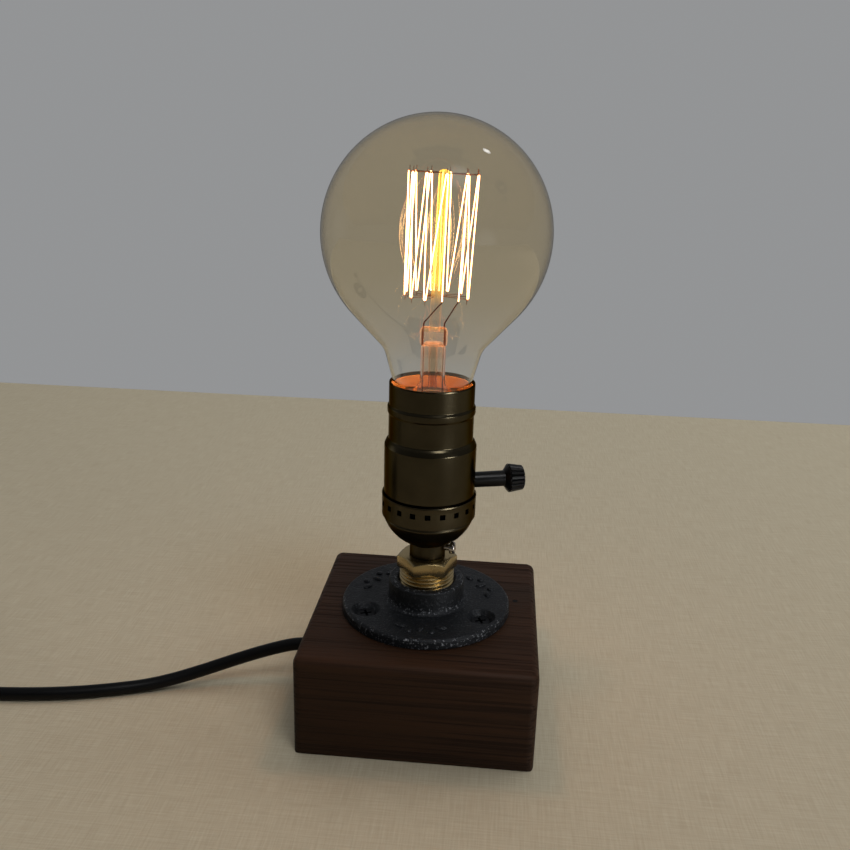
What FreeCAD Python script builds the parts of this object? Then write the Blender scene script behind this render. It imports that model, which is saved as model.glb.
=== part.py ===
import FreeCAD, Part
import math
import os

# A bare-bulb table lamp: a stained wooden block, a cast floor flange screwed onto it, a brass
# reducing bushing, a brass-shell lampholder with a rotary switch, and a clear globe bulb with a
# zig-zag cage filament. Millimetres. The origin is the middle of the block's underside, which is
# also the lamp's upright axis; +Z is up, -Y is the side that faces the viewer, and the flex
# leaves the block towards -X.

os.makedirs("parts", exist_ok=True)

# ---- driving dimensions ----------------------------------------------------------------------

# shared clearances
thread_clearance = 0.05      # between a thread and the hole it is screwed into
seat_clearance = 0.05        # between two pieces that rest on each other
running_clearance = 0.05     # round a shaft that turns in its bearing
cut_over = 1.0               # how far a cut runs past the face that it opens

# wooden block
block_width = 103.6
block_depth = 106.2
block_height = 46.4
block_corner_round = 4.0
block_top_round = 3.4
block_foot_round = 1.0
pocket_radius = 12.5         # wiring pocket bored from underneath
pocket_roof = 8.4            # wood left over the pocket
riser_radius = 5.0           # hole from the pocket up to the flange
exit_height = 21.8           # axis of the flex's hole in the left face
exit_hole_radius = 4.0

# cast floor flange
flange_radius = 38.8
flange_thickness = 4.8
flange_edge_bevel = 0.8
hub_radius = 17.5
hub_height = 10.6            # above the plate
hub_root_bevel = 1.4
hub_lip_bevel = 0.7
hub_countersink = 1.2
flange_hole_count = 3
flange_hole_circle = 30.0    # radius of the circle that the holes stand on
flange_hole_turn = 30.0      # degrees of the first hole from +X, clockwise from above
flange_hole_radius = 3.0
countersink_radius = 6.7

# wood screws in the flange
screw_head_radius = 4.6
screw_shank_radius = 2.0
screw_length = 24.0
screw_point_length = 4.0
screw_recess_width = 1.1
screw_recess_reach = 2.6
screw_recess_depth = 1.6
screw_recess_turn = 20.0     # degrees that the cross is turned from +X

# brass reducing bushing
hex_across_flats = 24.0
hex_height = 6.6
hex_turn = 8.5               # degrees that the front flat is turned towards +X
hex_bevel_angle = 30.0       # degrees of the turned bevel on the hexagon's upper corners
pipe_thread_radius = 12.5
pipe_thread_shown = 5.4      # thread left between the hub and the hexagon
pipe_thread_hidden = 11.0    # thread inside the hub
pipe_thread_lead = 1.0       # bevel that starts the thread
bushing_bore_radius = 8.0
bushing_bore_roof = 9.0      # brass over the wide bore

# hollow nipple
nipple_radius = 5.0
nipple_bore_radius = 3.5
nipple_above = 8.6           # above the bushing
nipple_below = 11.0          # inside the bushing
nipple_bevel = 0.6

# lampholder cap
neck_radius = 8.15
neck_height = 6.15
dome_lower_radius = 14.2     # the dome's outline turns twice, here and at the upper corner
dome_lower_rise = 2.7
dome_upper_radius = 18.5
dome_upper_rise = 7.5
dome_round = 7.0
dome_height = 13.8           # from the neck to the band
cap_band_radius = 21.1
cap_band_height = 10.4
cap_band_step = 0.8          # the band stands this far out from the dome
cap_wall = 0.6
vent_count = 20
vent_size = 2.4
vent_drop = 2.9              # from the lip down to the vents' top edges
vent_turn = -0.5             # degrees that the first vent is turned from -Y towards +X

# set screw in the cap's neck
set_screw_turn = -8.0        # degrees from +X
set_screw_drop = 2.2         # below the top of the neck
set_screw_radius = 1.5
set_screw_shank_shown = 2.4
set_screw_head_radius = 2.8
set_screw_head_height = 2.4
set_screw_crown = 0.8
set_screw_flat_radius = 1.7
set_screw_slot_width = 0.8
set_screw_slot_depth = 1.0
set_screw_slot_turn = 35.0   # degrees that the slot is turned about the screw

# lampholder shell
shell_hem_depth = 7.0        # of the shell in the cap
shell_wall = 0.45
shell_body_height = 22.2     # from the lip to the shoulder
shoulder_radius = 19.3
shoulder_round = 2.5
shoulder_height = 4.6
shoulder_slope_height = 3.45 # of the upper, flatter slope's start above the shoulder
collar_radius = 18.7
bead_radius = 19.3
bead_slope = 0.9
bead_drop = 14.3             # from the rim down to the bead's lower edge
bead_height = 4.2
shell_height = 51.3          # from the lip to the rim
rim_radius = 18.1
rim_height = 1.0
slot_width = 12.6            # the shell's notch for the switch stem
slot_above_stem = 8.0

# fibre liner
liner_radius = 17.95
liner_wall = 0.7
liner_below_rim = 1.8
liner_slot_width = 9.0
liner_slot_above = 5.0

# moulded switch base and socket body
base_disc_radius = 19.8
base_disc_thickness = 2.2
base_disc_drop = 9.4         # from the lip down to the disc's underside
moulding_radius = 16.9
stem_axis_rise = 4.4         # from the lip up to the switch stem's axis
parting_gap = 0.1            # between the two mouldings
cavity_radius = 6.3
cavity_half_length = 4.6
terminal_recess_width = 9.0
terminal_recess_floor = 12.2 # from the axis out to the recess's floor
terminal_recess_height = 9.4
rivet_turn = 45.0            # degrees from the stem back to the rivets' diagonal

# switch
knob_turn = 17.0             # degrees of the stem from +X towards +Y
spindle_radius = 1.95
spindle_inner_end = 7.0      # past the lamp's axis
cam_radius = 5.2
cam_lobe_width = 6.4
cam_half_length = 3.0
blade_width = 4.0
blade_thickness = 0.35
blade_gap = 0.3              # between the cam's lobes and the blade

# knob
knob_inner_end = 18.2        # from the lamp's axis out to the stem's inner end
knob_stem_length = 16.4
knob_stem_radius = 3.5
knob_stem_flare = 0.15
knob_shoulder_length = 1.8
knob_grip_length = 7.0
knob_grip_radius = 6.6
knob_tip_radius = 5.6
knob_dome_radius = 3.4       # flat middle of the tip
knob_dome_height = 0.7
flute_count = 18
flute_depth = 0.75
flute_half_width = 0.62
flute_over = 0.4             # the flute's cut runs this far past the grip
knob_socket_depth = 12.0

# screw shell, contact and fixings
screw_shell_radius = 13.75
screw_shell_wall = 0.35
screw_shell_height = 26.0
screw_shell_mouth = 8.0      # radius of the hole in its floor
rivet_reach = 11.2           # from the axis to a rivet
rivet_radius = 1.2
rivet_head_radius = 2.0
rivet_head_height = 0.6
contact_width = 5.0
contact_thickness = 0.4
contact_lift = 1.1
contact_clearance = 0.15     # between the tongue and the bulb's tip
contact_foot_end = 6.8
contact_bend_start = 3.6     # the tongue's slope, from the axis
contact_bend_end = 1.6
contact_tongue_end = 2.6
terminal_rise = 4.6          # from the disc's underside up to the terminal screws' axis
terminal_shank_radius = 1.4
terminal_shank_length = 5.0
terminal_head_radius = 2.6
terminal_head_height = 1.4

# flex and conductors
flex_radius = 3.0
flex_sides = 8               # flat sides of the tube that stands for the round flex
exit_straight = 8.7          # of the flex outside the block
riser_bend_radius = 18.0
sheath_above_nipple = 4.2
core_radius = 1.1
core_sides = 6               # flat sides of the cores and of the bulb's leads
core_spacing = 1.45          # from the axis to each core
core_straight = 2.6          # of a core above the sheath
core_bend_radius = 2.4
core_bend_drop = 1.2         # the cores turn upright this far below the disc
tie_width = 3.4
tie_thickness = 1.1
tie_back = 9.0               # from the lamp's axis along the flex
tie_head_length = 4.2
tie_head_width = 5.0
tie_head_inset = 0.3         # between the band's inside and the head

# bulb
globe_radius = 47.7
globe_cone = 42.6            # degrees of the cone under the globe, from upright
globe_rise = 62.15           # from the shell's rim up to the globe's middle
glass_wall = 0.8
throat_rise = 14.7           # from the rim
throat_round = 12.0
glass_rim_radius = 17.1      # where the glass passes the shell's rim
glass_foot_radius = 12.5
glass_foot_drop = 12.0       # the glass ends this far below the rim
glass_collar_radius = 13.0
glass_collar_drop = 5.6

# bulb base
base_clearance = 0.35        # between the screw shell and the bulb's base
base_wall = 0.25
base_skirt_flare = 0.5
base_skirt_height = 2.4
base_skirt_drop = 5.9        # the skirt ends this far below the rim
base_length = 26.9           # from the skirt's top to the contact's tip
base_barrel_height = 19.2
base_cone_height = 1.4
base_mouth_radius = 10.6
tip_radius = 4.8
tip_height = 1.5
tip_flat_radius = 2.4
tip_crown_height = 1.05
insulator_height = 6.6
insulator_foot_margin = 0.3  # beyond the contact
insulator_mouth_gap = 0.4    # inside the shell's mouth
insulator_lip_drop = 0.2     # the glass's lip, under and over the shell's mouth
insulator_lip_rise = 0.4
insulator_cone_gap = 0.5     # over the shell's cone

# stem, rod and cage inside the bulb
flare_radius = 11.4
flare_drop = 8.5             # below the rim
flare_waist_radius = 8.9
flare_waist_rise = 2.85      # above the flare's mouth
flare_neck_radius = 6.1
flare_neck_rise = 7.1
flare_height = 11.4
stem_radius = 5.3
stem_shoulder_radius = 2.65  # where the tube is closed under the pinch
stem_shoulder_height = 2.4
stem_top_rise = 15.5         # the stem tube ends this far above the rim
stem_wall = 0.8
pinch_width = 11.7
pinch_thickness = 4.8
pinch_height = 8.2
pinch_bevel = 0.9
exhaust_radius = 2.0
exhaust_wall = 0.5
exhaust_length = 20.0
exhaust_overlap = 1.0        # of the exhaust tube in the pinch
rod_radius = 2.35
rod_foot_depth = 1.5         # of the rod in the pinch
cage_tilt = 2.0              # degrees that the rod leans towards +X
rod_height = 65.5            # above the pinch
rod_tip_bevel = 0.94
cage_top_rise = 63.0         # upper hooks above the pinch
cage_bottom_rise = 13.2      # lower hooks above the pinch
cage_top_radius = 14.1
cage_bottom_radius = 13.3
support_radius = 0.18
support_tail = 2.2
support_bend = 0.6
filament_radius = 0.16
wire_sides = 4               # the cage's fine wires are drawn square
hook_radius = 0.42
upper_hook_count = 11
upper_hook_first = 8.0       # degrees from -Y towards +X
upper_hook_step = 32.3
lower_hook_step = 29.86
lower_hook_first = 13.5
lead_radius = 0.3
lead_spacing = 4.4           # from the axis to each lead in the pinch
lead_foot_drop = 22.0        # the leads start this far below the rim
lead_bend = 1.2
lead_straight = 1.2          # of a lead above the pinch
lead_tip_drop = 1.0          # the lead turns up this far below the filament's end
lead_tip_gap = 0.4           # between the lead's end and the filament's end
lead_tip_bend = 0.3

# coiled flex and plug
coil_middle_x = -270.0
coil_entry_y = -34.0
coil_straight = 6.0          # of the flex before the first turn and after the last
coil_radius = 40.0           # outermost turn, at the middle of the flex
coil_pitch = 6.7             # between turns and between layers
coil_layers = 4
coil_turns = 7
coil_climb = 0.5             # turns that the flex takes to climb one layer
tail_straight = 9.0
plug_width = 35.3
plug_thickness = 13.7
plug_body_length = 34.0
plug_rear_width = 13.0
plug_shoulder_length = 9.0
plug_shoulder_round = 9.0
plug_corner_round = 3.0
plug_edge_bevel = 1.8
plug_relief_length = 24.0
plug_relief_radius = 5.0
plug_relief_end = 3.9
plug_relief_root = 2.0       # of the sleeve in the body
plug_groove_count = 4
plug_groove_first = 3.0
plug_groove_pitch = 5.0
plug_groove_width = 1.6
plug_groove_depth = 0.9
pin_spacing = 19.0
pin_radius = 2.0
pin_length = 19.0
pin_root_length = 5.9        # of a pin in the plug
pin_tip_bevel = 1.0
pin_sleeve_length = 10.0
pin_sleeve_inset = 0.1
pin_sleeve_slope = 0.2

# ---- levels worked out from them --------------------------------------------------------------

V = FreeCAD.Vector
UP = V(0, 0, 1)

flange_top = block_height + flange_thickness
hub_top = flange_top + hub_height
hex_bottom = hub_top + pipe_thread_shown
hex_top = hex_bottom + hex_height
neck_top = hex_top + seat_clearance + neck_height
band_bottom = neck_top + dome_height
lip = band_bottom + cap_band_height
stem_axis = lip + stem_axis_rise
rim = lip + shell_height
globe_middle = rim + globe_rise
tip_end = rim - base_skirt_drop - base_length
tongue_low = tip_end - contact_clearance - contact_thickness
seat = tongue_low - contact_lift - seat_clearance
pinch_bottom = rim + stem_top_rise
pinch_top = pinch_bottom + pinch_height
disc_bottom = lip - base_disc_drop
disc_top = disc_bottom + base_disc_thickness
flex_top = hex_top + nipple_above + sheath_above_nipple
block_side = -block_width / 2
shell_radius = cap_band_radius - cap_wall - seat_clearance


# ---- helpers ----------------------------------------------------------------------------------

def corner_arc(before, corner, after, radius):
    """Start, middle and end of the arc that rounds the corner of a profile or a route."""
    into = (before - corner).normalize()
    out = (after - corner).normalize()
    half = into.getAngle(out) / 2
    back = radius / math.tan(half)
    centre = corner + (into + out).normalize() * (radius / math.sin(half))
    middle = centre + (corner - centre).normalize() * radius
    return corner + into * back, middle, corner + out * back


def rounded_edges(points, radii, closed=False):
    """Straight runs joined by tangent arcs, one radius to a point; 0 leaves a corner sharp."""
    count = len(points)
    edges = []
    first = None
    here = None
    for i, point in enumerate(points):
        is_end = not closed and i in (0, count - 1)
        if is_end or radii[i] <= 0:
            start, middle, end = point, None, point
        else:
            before, after = points[i - 1], points[(i + 1) % count]
            start, middle, end = corner_arc(before, point, after, radii[i])
        if here is not None and (start - here).Length > 1e-6:
            edges.append(Part.LineSegment(here, start).toShape())
        if middle is not None:
            edges.append(Part.Arc(start, middle, end).toShape())
        first = start if first is None else first
        here = end
    if closed and (first - here).Length > 1e-6:
        edges.append(Part.LineSegment(here, first).toShape())
    return edges


def turned(*corners):
    """Solid turned about Z from a closed profile; a corner is (r, z) or (r, z, round)."""
    points = [V(c[0], 0, c[1]) for c in corners]
    radii = [c[2] if len(c) > 2 else 0 for c in corners]
    face = Part.Face(Part.Wire(rounded_edges(points, radii, closed=True)))
    return face.revolve(V(0, 0, 0), UP, 360)


def offset_corners(corners, wall):
    """The corners of the line that lies a wall to the left of an open profile."""
    full = [(c[0], c[1], c[2] if len(c) > 2 else 0) for c in corners]
    ways = []
    for a, b in zip(full, full[1:]):
        length = math.hypot(b[0] - a[0], b[1] - a[1])
        ways.append(((b[0] - a[0]) / length, (b[1] - a[1]) / length))
    result = []
    for i, (r, z, radius) in enumerate(full):
        before = ways[max(i - 1, 0)]
        after = ways[min(i, len(ways) - 1)]
        share = wall / (1 + before[0] * after[0] + before[1] * after[1])
        turn = before[0] * after[1] - before[1] * after[0]
        inner = radius - wall if turn > 0 else radius + wall
        shifted_r = r - (before[1] + after[1]) * share
        shifted_z = z + (before[0] + after[0]) * share
        result.append((shifted_r, shifted_z, max(inner, 0) if radius > 0 else 0))
    return result


def sheet(corners, wall):
    """Thin wall turned about Z: an open profile, thickened to its left."""
    return turned(*corners, *reversed(offset_corners(corners, wall)))


def rod(radius, length, base, way):
    """Round bar from a point along a direction."""
    return Part.makeCylinder(radius, length, base, way)


def tube_along(edges, radius, sides=0):
    """Solid swept along a wire; round, or with so many flat sides."""
    start = edges[0].Vertexes[0].Point
    way = edges[0].tangentAt(edges[0].FirstParameter)
    if sides == 0:
        section = Part.Wire(Part.makeCircle(radius, start, way))
    else:
        across = way.cross(UP if abs(way.z) < 0.9 else V(1, 0, 0)).normalize()
        above = across.cross(way)
        half = math.pi / sides
        corners = []
        for i in range(sides + 1):
            angle = half + 2 * half * i
            corners.append(start + across * (radius * math.sin(angle))
                           + above * (radius * math.cos(angle)))
        section = Part.makePolygon(corners)
    return Part.Wire(edges).makePipeShell([section], True, False)


def spun(shape, angle):
    """Copy turned about the lamp's axis."""
    copy = shape.copy()
    copy.rotate(V(0, 0, 0), UP, angle)
    return copy


def on_stem(shape):
    """A shape built about Z from the lamp's axis outwards, laid along the switch stem."""
    copy = shape.copy()
    copy.rotate(V(0, 0, 0), V(0, 1, 0), 90)
    copy.translate(V(0, 0, stem_axis))
    return spun(copy, knob_turn)


def from_front(angle, radius, z):
    """Point at an angle from the front, -Y, towards +X."""
    turn = math.radians(angle)
    return V(radius * math.sin(turn), -radius * math.cos(turn), z)


def save(node, *solids):
    shape = solids[0] if len(solids) == 1 else Part.makeCompound(list(solids))
    shape.exportStep(f"parts/{node}.step")
    print(f"{node}: {len(shape.Solids)} solid(s), {shape.Volume:.1f} mm3, valid {shape.isValid()}")


# ---- wooden block -----------------------------------------------------------------------------

def rounded_slab(width, depth, height, corner):
    """Upright slab on the floor, its four upright edges rounded."""
    x, y = width / 2, depth / 2
    points = [V(-x, -y, 0), V(x, -y, 0), V(x, y, 0), V(-x, y, 0)]
    edges = rounded_edges(points, [corner] * 4, closed=True)
    return Part.Face(Part.Wire(edges)).extrude(V(0, 0, height))


def edges_at(shape, z):
    return [e for e in shape.Edges if all(abs(v.Z - z) < 1e-6 for v in e.Vertexes)]


def flange_hole_places():
    """Middle of each hole of the flange, on the block's top."""
    places = []
    for i in range(flange_hole_count):
        angle = math.radians(-flange_hole_turn + i * 360 / flange_hole_count)
        places.append(V(flange_hole_circle * math.cos(angle),
                        flange_hole_circle * math.sin(angle), block_height))
    return places


def wood_block():
    block = rounded_slab(block_width, block_depth, block_height, block_corner_round)
    block = block.makeFillet(block_top_round, edges_at(block, block_height))
    block = block.makeFillet(block_foot_round, edges_at(block, 0))
    pocket_top = block_height - pocket_roof
    bores = [
        rod(pocket_radius, pocket_top, V(0, 0, 0), UP),
        rod(riser_radius, block_height, V(0, 0, 0), UP),
        rod(exit_hole_radius, block_width / 2, V(0, 0, exit_height), V(-1, 0, 0)),
    ]
    screw_depth = screw_length - screw_head_top()
    for place in flange_hole_places():
        depth = screw_depth + thread_clearance
        bores.append(rod(screw_shank_radius + thread_clearance, depth, place, V(0, 0, -1)))
    return block.cut(Part.makeCompound(bores))


# ---- flange and its screws --------------------------------------------------------------------

def countersink_depth():
    return countersink_radius - flange_hole_radius


def screw_head_top():
    """Height of the screws' heads over the block, their cones resting in the countersinks."""
    return flange_thickness - (countersink_radius - screw_head_radius) + seat_clearance


def floor_flange():
    bore = pipe_thread_radius + thread_clearance
    body = turned(
        (bore, block_height), (flange_radius, block_height),
        (flange_radius, flange_top - flange_edge_bevel),
        (flange_radius - flange_edge_bevel, flange_top),
        (hub_radius + hub_root_bevel, flange_top), (hub_radius, flange_top + hub_root_bevel),
        (hub_radius, hub_top - hub_lip_bevel), (hub_radius - hub_lip_bevel, hub_top),
        (bore + hub_countersink, hub_top), (bore, hub_top - hub_countersink),
    )
    hole = turned(
        (0, 0), (flange_hole_radius, 0), (flange_hole_radius, flange_thickness - countersink_depth()),
        (countersink_radius, flange_thickness), (countersink_radius, flange_thickness + cut_over),
        (0, flange_thickness + cut_over),
    )
    holes = []
    for place in flange_hole_places():
        copy = hole.copy()
        copy.translate(place)
        holes.append(copy)
    return body.cut(Part.makeCompound(holes))


def flange_screws():
    """Countersunk wood screws with a cross recess, their heads on the holes' cones."""
    screws = []
    cone = screw_head_radius - screw_shank_radius
    for place in flange_hole_places():
        top = screw_head_top()
        screw = turned(
            (0, top), (screw_head_radius, top), (screw_shank_radius, top - cone),
            (screw_shank_radius, top - screw_length + screw_point_length), (0, top - screw_length),
        )
        for turn in (0, 90):
            arm = Part.makeBox(2 * screw_recess_reach, screw_recess_width, screw_recess_depth,
                               V(-screw_recess_reach, -screw_recess_width / 2,
                                 top - screw_recess_depth))
            arm.rotate(V(0, 0, 0), UP, turn + screw_recess_turn)
            screw = screw.cut(arm)
        screw.translate(place)
        screws.append(screw)
    return screws


# ---- bushing and nipple -----------------------------------------------------------------------

def hex_bushing():
    corner = hex_across_flats / math.sqrt(3)
    corner_turn = hex_turn + 360 / 12
    ring = [from_front(corner_turn + 360 / 6 * i, corner, hex_bottom) for i in range(7)]
    prism = Part.Face(Part.makePolygon(ring)).extrude(V(0, 0, hex_height))
    bevel = (corner - hex_across_flats / 2) * math.tan(math.radians(hex_bevel_angle))
    prism = prism.common(turned(
        (0, hex_bottom), (corner, hex_bottom), (corner, hex_top - bevel),
        (hex_across_flats / 2, hex_top), (0, hex_top),
    ))
    foot = hub_top - pipe_thread_hidden
    barrel = turned(
        (0, foot), (pipe_thread_radius - pipe_thread_lead, foot),
        (pipe_thread_radius, foot + pipe_thread_lead), (pipe_thread_radius, hex_bottom),
        (0, hex_bottom),
    )
    bore = rod(nipple_radius + thread_clearance, hex_top - foot, V(0, 0, foot), UP)
    wide = rod(bushing_bore_radius, hex_top - bushing_bore_roof - foot, V(0, 0, foot), UP)
    return prism.fuse(barrel).cut([bore, wide]).removeSplitter()


def threaded_nipple():
    bottom = hex_top - nipple_below
    top = hex_top + nipple_above
    return turned(
        (nipple_bore_radius, bottom), (nipple_radius - nipple_bevel, bottom),
        (nipple_radius, bottom + nipple_bevel), (nipple_radius, top - nipple_bevel),
        (nipple_radius - nipple_bevel, top), (nipple_bore_radius, top),
    )


# ---- lampholder -------------------------------------------------------------------------------

def cap_corners():
    """Outside of the spun cap from the neck to the lip."""
    dome_top = cap_band_radius - cap_band_step
    return [
        (neck_radius, neck_top),
        (dome_lower_radius, neck_top + dome_lower_rise, dome_round),
        (dome_upper_radius, neck_top + dome_upper_rise, dome_round),
        (dome_top, band_bottom),
        (cap_band_radius, band_bottom + cap_band_step / 2),
        (cap_band_radius, lip),
    ]


def socket_cap():
    bottom = hex_top + seat_clearance
    neck = turned(
        (nipple_radius + thread_clearance, bottom), (neck_radius, bottom),
        (neck_radius, neck_top + cap_wall), (nipple_radius + thread_clearance, neck_top + cap_wall),
    )
    cap = neck.fuse(sheet(cap_corners(), cap_wall))
    vent = Part.makeBox(vent_size, cap_wall + 2 * cut_over, vent_size,
                        V(-vent_size / 2, -cap_band_radius - cut_over,
                          lip - vent_drop - vent_size))
    vents = [spun(vent, vent_turn + i * 360 / vent_count) for i in range(vent_count)]
    way = V(math.cos(math.radians(set_screw_turn)), math.sin(math.radians(set_screw_turn)), 0)
    tap = rod(set_screw_radius + thread_clearance, neck_radius + cut_over,
              V(0, 0, neck_top - set_screw_drop), way)
    return cap.cut(Part.makeCompound(vents + [tap])).removeSplitter()


def cap_set_screw():
    """Slotted screw through the neck, its end on the nipple."""
    foot = nipple_radius + seat_clearance
    head = neck_radius + set_screw_shank_shown
    end = head + set_screw_head_height
    screw = turned(
        (0, foot), (set_screw_radius, foot), (set_screw_radius, head),
        (set_screw_head_radius, head), (set_screw_head_radius, end - set_screw_crown),
        (set_screw_flat_radius, end), (0, end),
    )
    slot = Part.makeBox(2 * set_screw_head_radius, set_screw_slot_width, set_screw_slot_depth,
                        V(-set_screw_head_radius, -set_screw_slot_width / 2,
                          end - set_screw_slot_depth))
    slot.rotate(V(0, 0, 0), UP, set_screw_slot_turn)
    screw = screw.cut(slot)
    screw.rotate(V(0, 0, 0), V(0, 1, 0), 90)
    screw.translate(V(0, 0, neck_top - set_screw_drop))
    return spun(screw, set_screw_turn)


def stem_notch(width, above, depth):
    """Cutter for a notch open at the bottom, round at the top, that clears the switch stem."""
    low = stem_axis - depth
    high = stem_axis + above - width / 2
    reach = shell_radius + cut_over
    arch = rod(width / 2, reach, V(0, 0, high), V(1, 0, 0))
    legs = Part.makeBox(reach, width, high - low, V(0, -width / 2, low))
    return spun(arch.fuse(legs), knob_turn)


def shell_corners():
    """Outside of the drawn shell from its hem to its rim."""
    shoulder = lip + shell_body_height
    bead = rim - bead_drop
    return [
        (shell_radius, lip - shell_hem_depth),
        (shell_radius, shoulder, shoulder_round),
        (shoulder_radius, shoulder + shoulder_slope_height),
        (collar_radius, shoulder + shoulder_height),
        (collar_radius, bead),
        (bead_radius, bead + bead_slope),
        (bead_radius, bead + bead_height - bead_slope),
        (collar_radius, bead + bead_height),
        (collar_radius, rim - rim_height),
        (rim_radius, rim),
    ]


def socket_shell():
    shell = sheet(shell_corners(), shell_wall)
    depth = stem_axis_rise + shell_hem_depth + cut_over
    return shell.cut(stem_notch(slot_width, slot_above_stem, depth))


def insulating_liner():
    foot = disc_top + seat_clearance
    tube = turned((liner_radius - liner_wall, foot), (liner_radius, foot),
                  (liner_radius, rim - liner_below_rim),
                  (liner_radius - liner_wall, rim - liner_below_rim))
    return tube.cut(stem_notch(liner_slot_width, liner_slot_above, stem_axis - foot + cut_over))


def cam_cavity():
    """Room round the spindle for the cam and the contact blade."""
    room = rod(cavity_radius, 2 * cavity_half_length, V(0, 0, -cavity_half_length), UP)
    bearing = rod(spindle_radius + running_clearance,
                  spindle_inner_end + running_clearance + moulding_radius + cut_over,
                  V(0, 0, -spindle_inner_end - running_clearance), UP)
    return on_stem(room.fuse(bearing))


def rivet_places():
    """Two rivets on a diagonal of the mouldings, clear of the stem and the terminals."""
    return [from_front(knob_turn - rivet_turn + side, rivet_reach, 0) for side in (0, 180)]


def rivet_holes():
    low = disc_bottom - cut_over
    high = seat + screw_shell_wall + cut_over
    return [rod(rivet_radius + seat_clearance, high - low, place + V(0, 0, low), UP)
            for place in rivet_places()]


def terminal_recesses(height):
    """Two recesses, one on each side of the stem, for the terminal screws."""
    boxes = []
    for side in (0, 180):
        box = Part.makeBox(terminal_recess_width, base_disc_radius, height + cut_over,
                           V(-terminal_recess_width / 2, terminal_recess_floor,
                             disc_bottom - cut_over))
        boxes.append(spun(box, knob_turn + side))
    return boxes


def terminal_taps():
    """Holes for the terminal screws in the recesses' floors."""
    taps = []
    start = terminal_recess_floor - terminal_shank_length - seat_clearance
    for side in (0, 180):
        tap = rod(terminal_shank_radius + thread_clearance,
                  terminal_recess_floor + cut_over - start,
                  V(0, start, disc_bottom + terminal_rise), V(0, 1, 0))
        taps.append(spun(tap, knob_turn + side))
    return taps


def switch_base():
    top = stem_axis - parting_gap / 2
    body = turned(
        (0, disc_bottom), (base_disc_radius, disc_bottom), (base_disc_radius, disc_top),
        (moulding_radius, disc_top), (moulding_radius, top), (0, top),
    )
    recesses = terminal_recesses(terminal_recess_height) + terminal_taps()
    return body.cut([cam_cavity()] + rivet_holes() + recesses)


def socket_body():
    bottom = stem_axis + parting_gap / 2
    body = turned((0, bottom), (moulding_radius, bottom), (moulding_radius, seat), (0, seat))
    return body.cut([cam_cavity()] + rivet_holes())


def screw_shell():
    """Cup that the bulb screws into, riveted to the body through its floor."""
    floor = seat + seat_clearance
    cup = sheet([(screw_shell_mouth, floor), (screw_shell_radius, floor),
                 (screw_shell_radius, floor + screw_shell_height)], screw_shell_wall)
    return cup.cut(rivet_holes())


def centre_contact():
    """Bent spring tongue whose end the bulb's tip presses on."""
    low = seat + seat_clearance
    high = tongue_low
    thick = contact_thickness
    back = thick / 2
    points = [
        V(-contact_foot_end, 0, low), V(-contact_bend_start, 0, low),
        V(-contact_bend_end, 0, high), V(contact_tongue_end, 0, high),
        V(contact_tongue_end, 0, high + thick), V(-contact_bend_end - back, 0, high + thick),
        V(-contact_bend_start - back, 0, low + thick), V(-contact_foot_end, 0, low + thick),
    ]
    profile = Part.Face(Part.makePolygon(points + [points[0]]))
    profile.translate(V(0, -contact_width / 2, 0))
    return spun(profile.extrude(V(0, contact_width, 0)), knob_turn)


def shell_rivets():
    """Headed at both ends, over the screw shell's floor and under the base."""
    rivets = []
    low = disc_bottom - seat_clearance
    high = seat + seat_clearance + screw_shell_wall + seat_clearance
    for place in rivet_places():
        rivet = turned(
            (0, low - rivet_head_height), (rivet_head_radius, low - rivet_head_height),
            (rivet_head_radius, low), (rivet_radius, low), (rivet_radius, high),
            (rivet_head_radius, high), (rivet_head_radius, high + rivet_head_height),
            (0, high + rivet_head_height),
        )
        rivet.translate(place)
        rivets.append(rivet)
    return rivets


def terminal_screws():
    screws = []
    start = terminal_recess_floor - terminal_shank_length
    head = terminal_recess_floor + 2 * core_radius + 2 * seat_clearance
    for side in (0, 180):
        screw = turned(
            (0, start), (terminal_shank_radius, start), (terminal_shank_radius, head),
            (terminal_head_radius, head), (terminal_head_radius, head + terminal_head_height),
            (0, head + terminal_head_height),
        )
        screw.rotate(V(0, 0, 0), V(1, 0, 0), -90)
        screw.translate(V(0, 0, disc_bottom + terminal_rise))
        screws.append(spun(screw, knob_turn + side))
    return screws


# ---- switch -----------------------------------------------------------------------------------

def knob_socket_end():
    return knob_inner_end + knob_socket_depth


def switch_spindle():
    length = spindle_inner_end + knob_socket_end() - seat_clearance
    bar = rod(spindle_radius, length, V(0, 0, -spindle_inner_end), UP)
    return on_stem(bar)


def switch_cam():
    """Two-lobed cam on the spindle that makes and breaks the contact."""
    disc = rod(cam_radius, 2 * cam_half_length, V(0, 0, -cam_half_length), UP)
    bar = Part.makeBox(cam_lobe_width, 2 * cam_radius, 2 * cam_half_length,
                       V(-cam_lobe_width / 2, -cam_radius, -cam_half_length))
    bore = rod(spindle_radius, 2 * cam_half_length, V(0, 0, -cam_half_length), UP)
    return on_stem(disc.common(bar).cut(bore))


def switch_blade():
    """Spring blade over the cam, resting against the cavity's roof at both ends."""
    height = cam_radius + blade_gap
    half = math.sqrt(cavity_radius ** 2 - (height + blade_thickness) ** 2) - seat_clearance
    blade = Part.makeBox(blade_width, 2 * half, blade_thickness,
                         V(-blade_width / 2, -half, stem_axis + height))
    return spun(blade, knob_turn)


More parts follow.
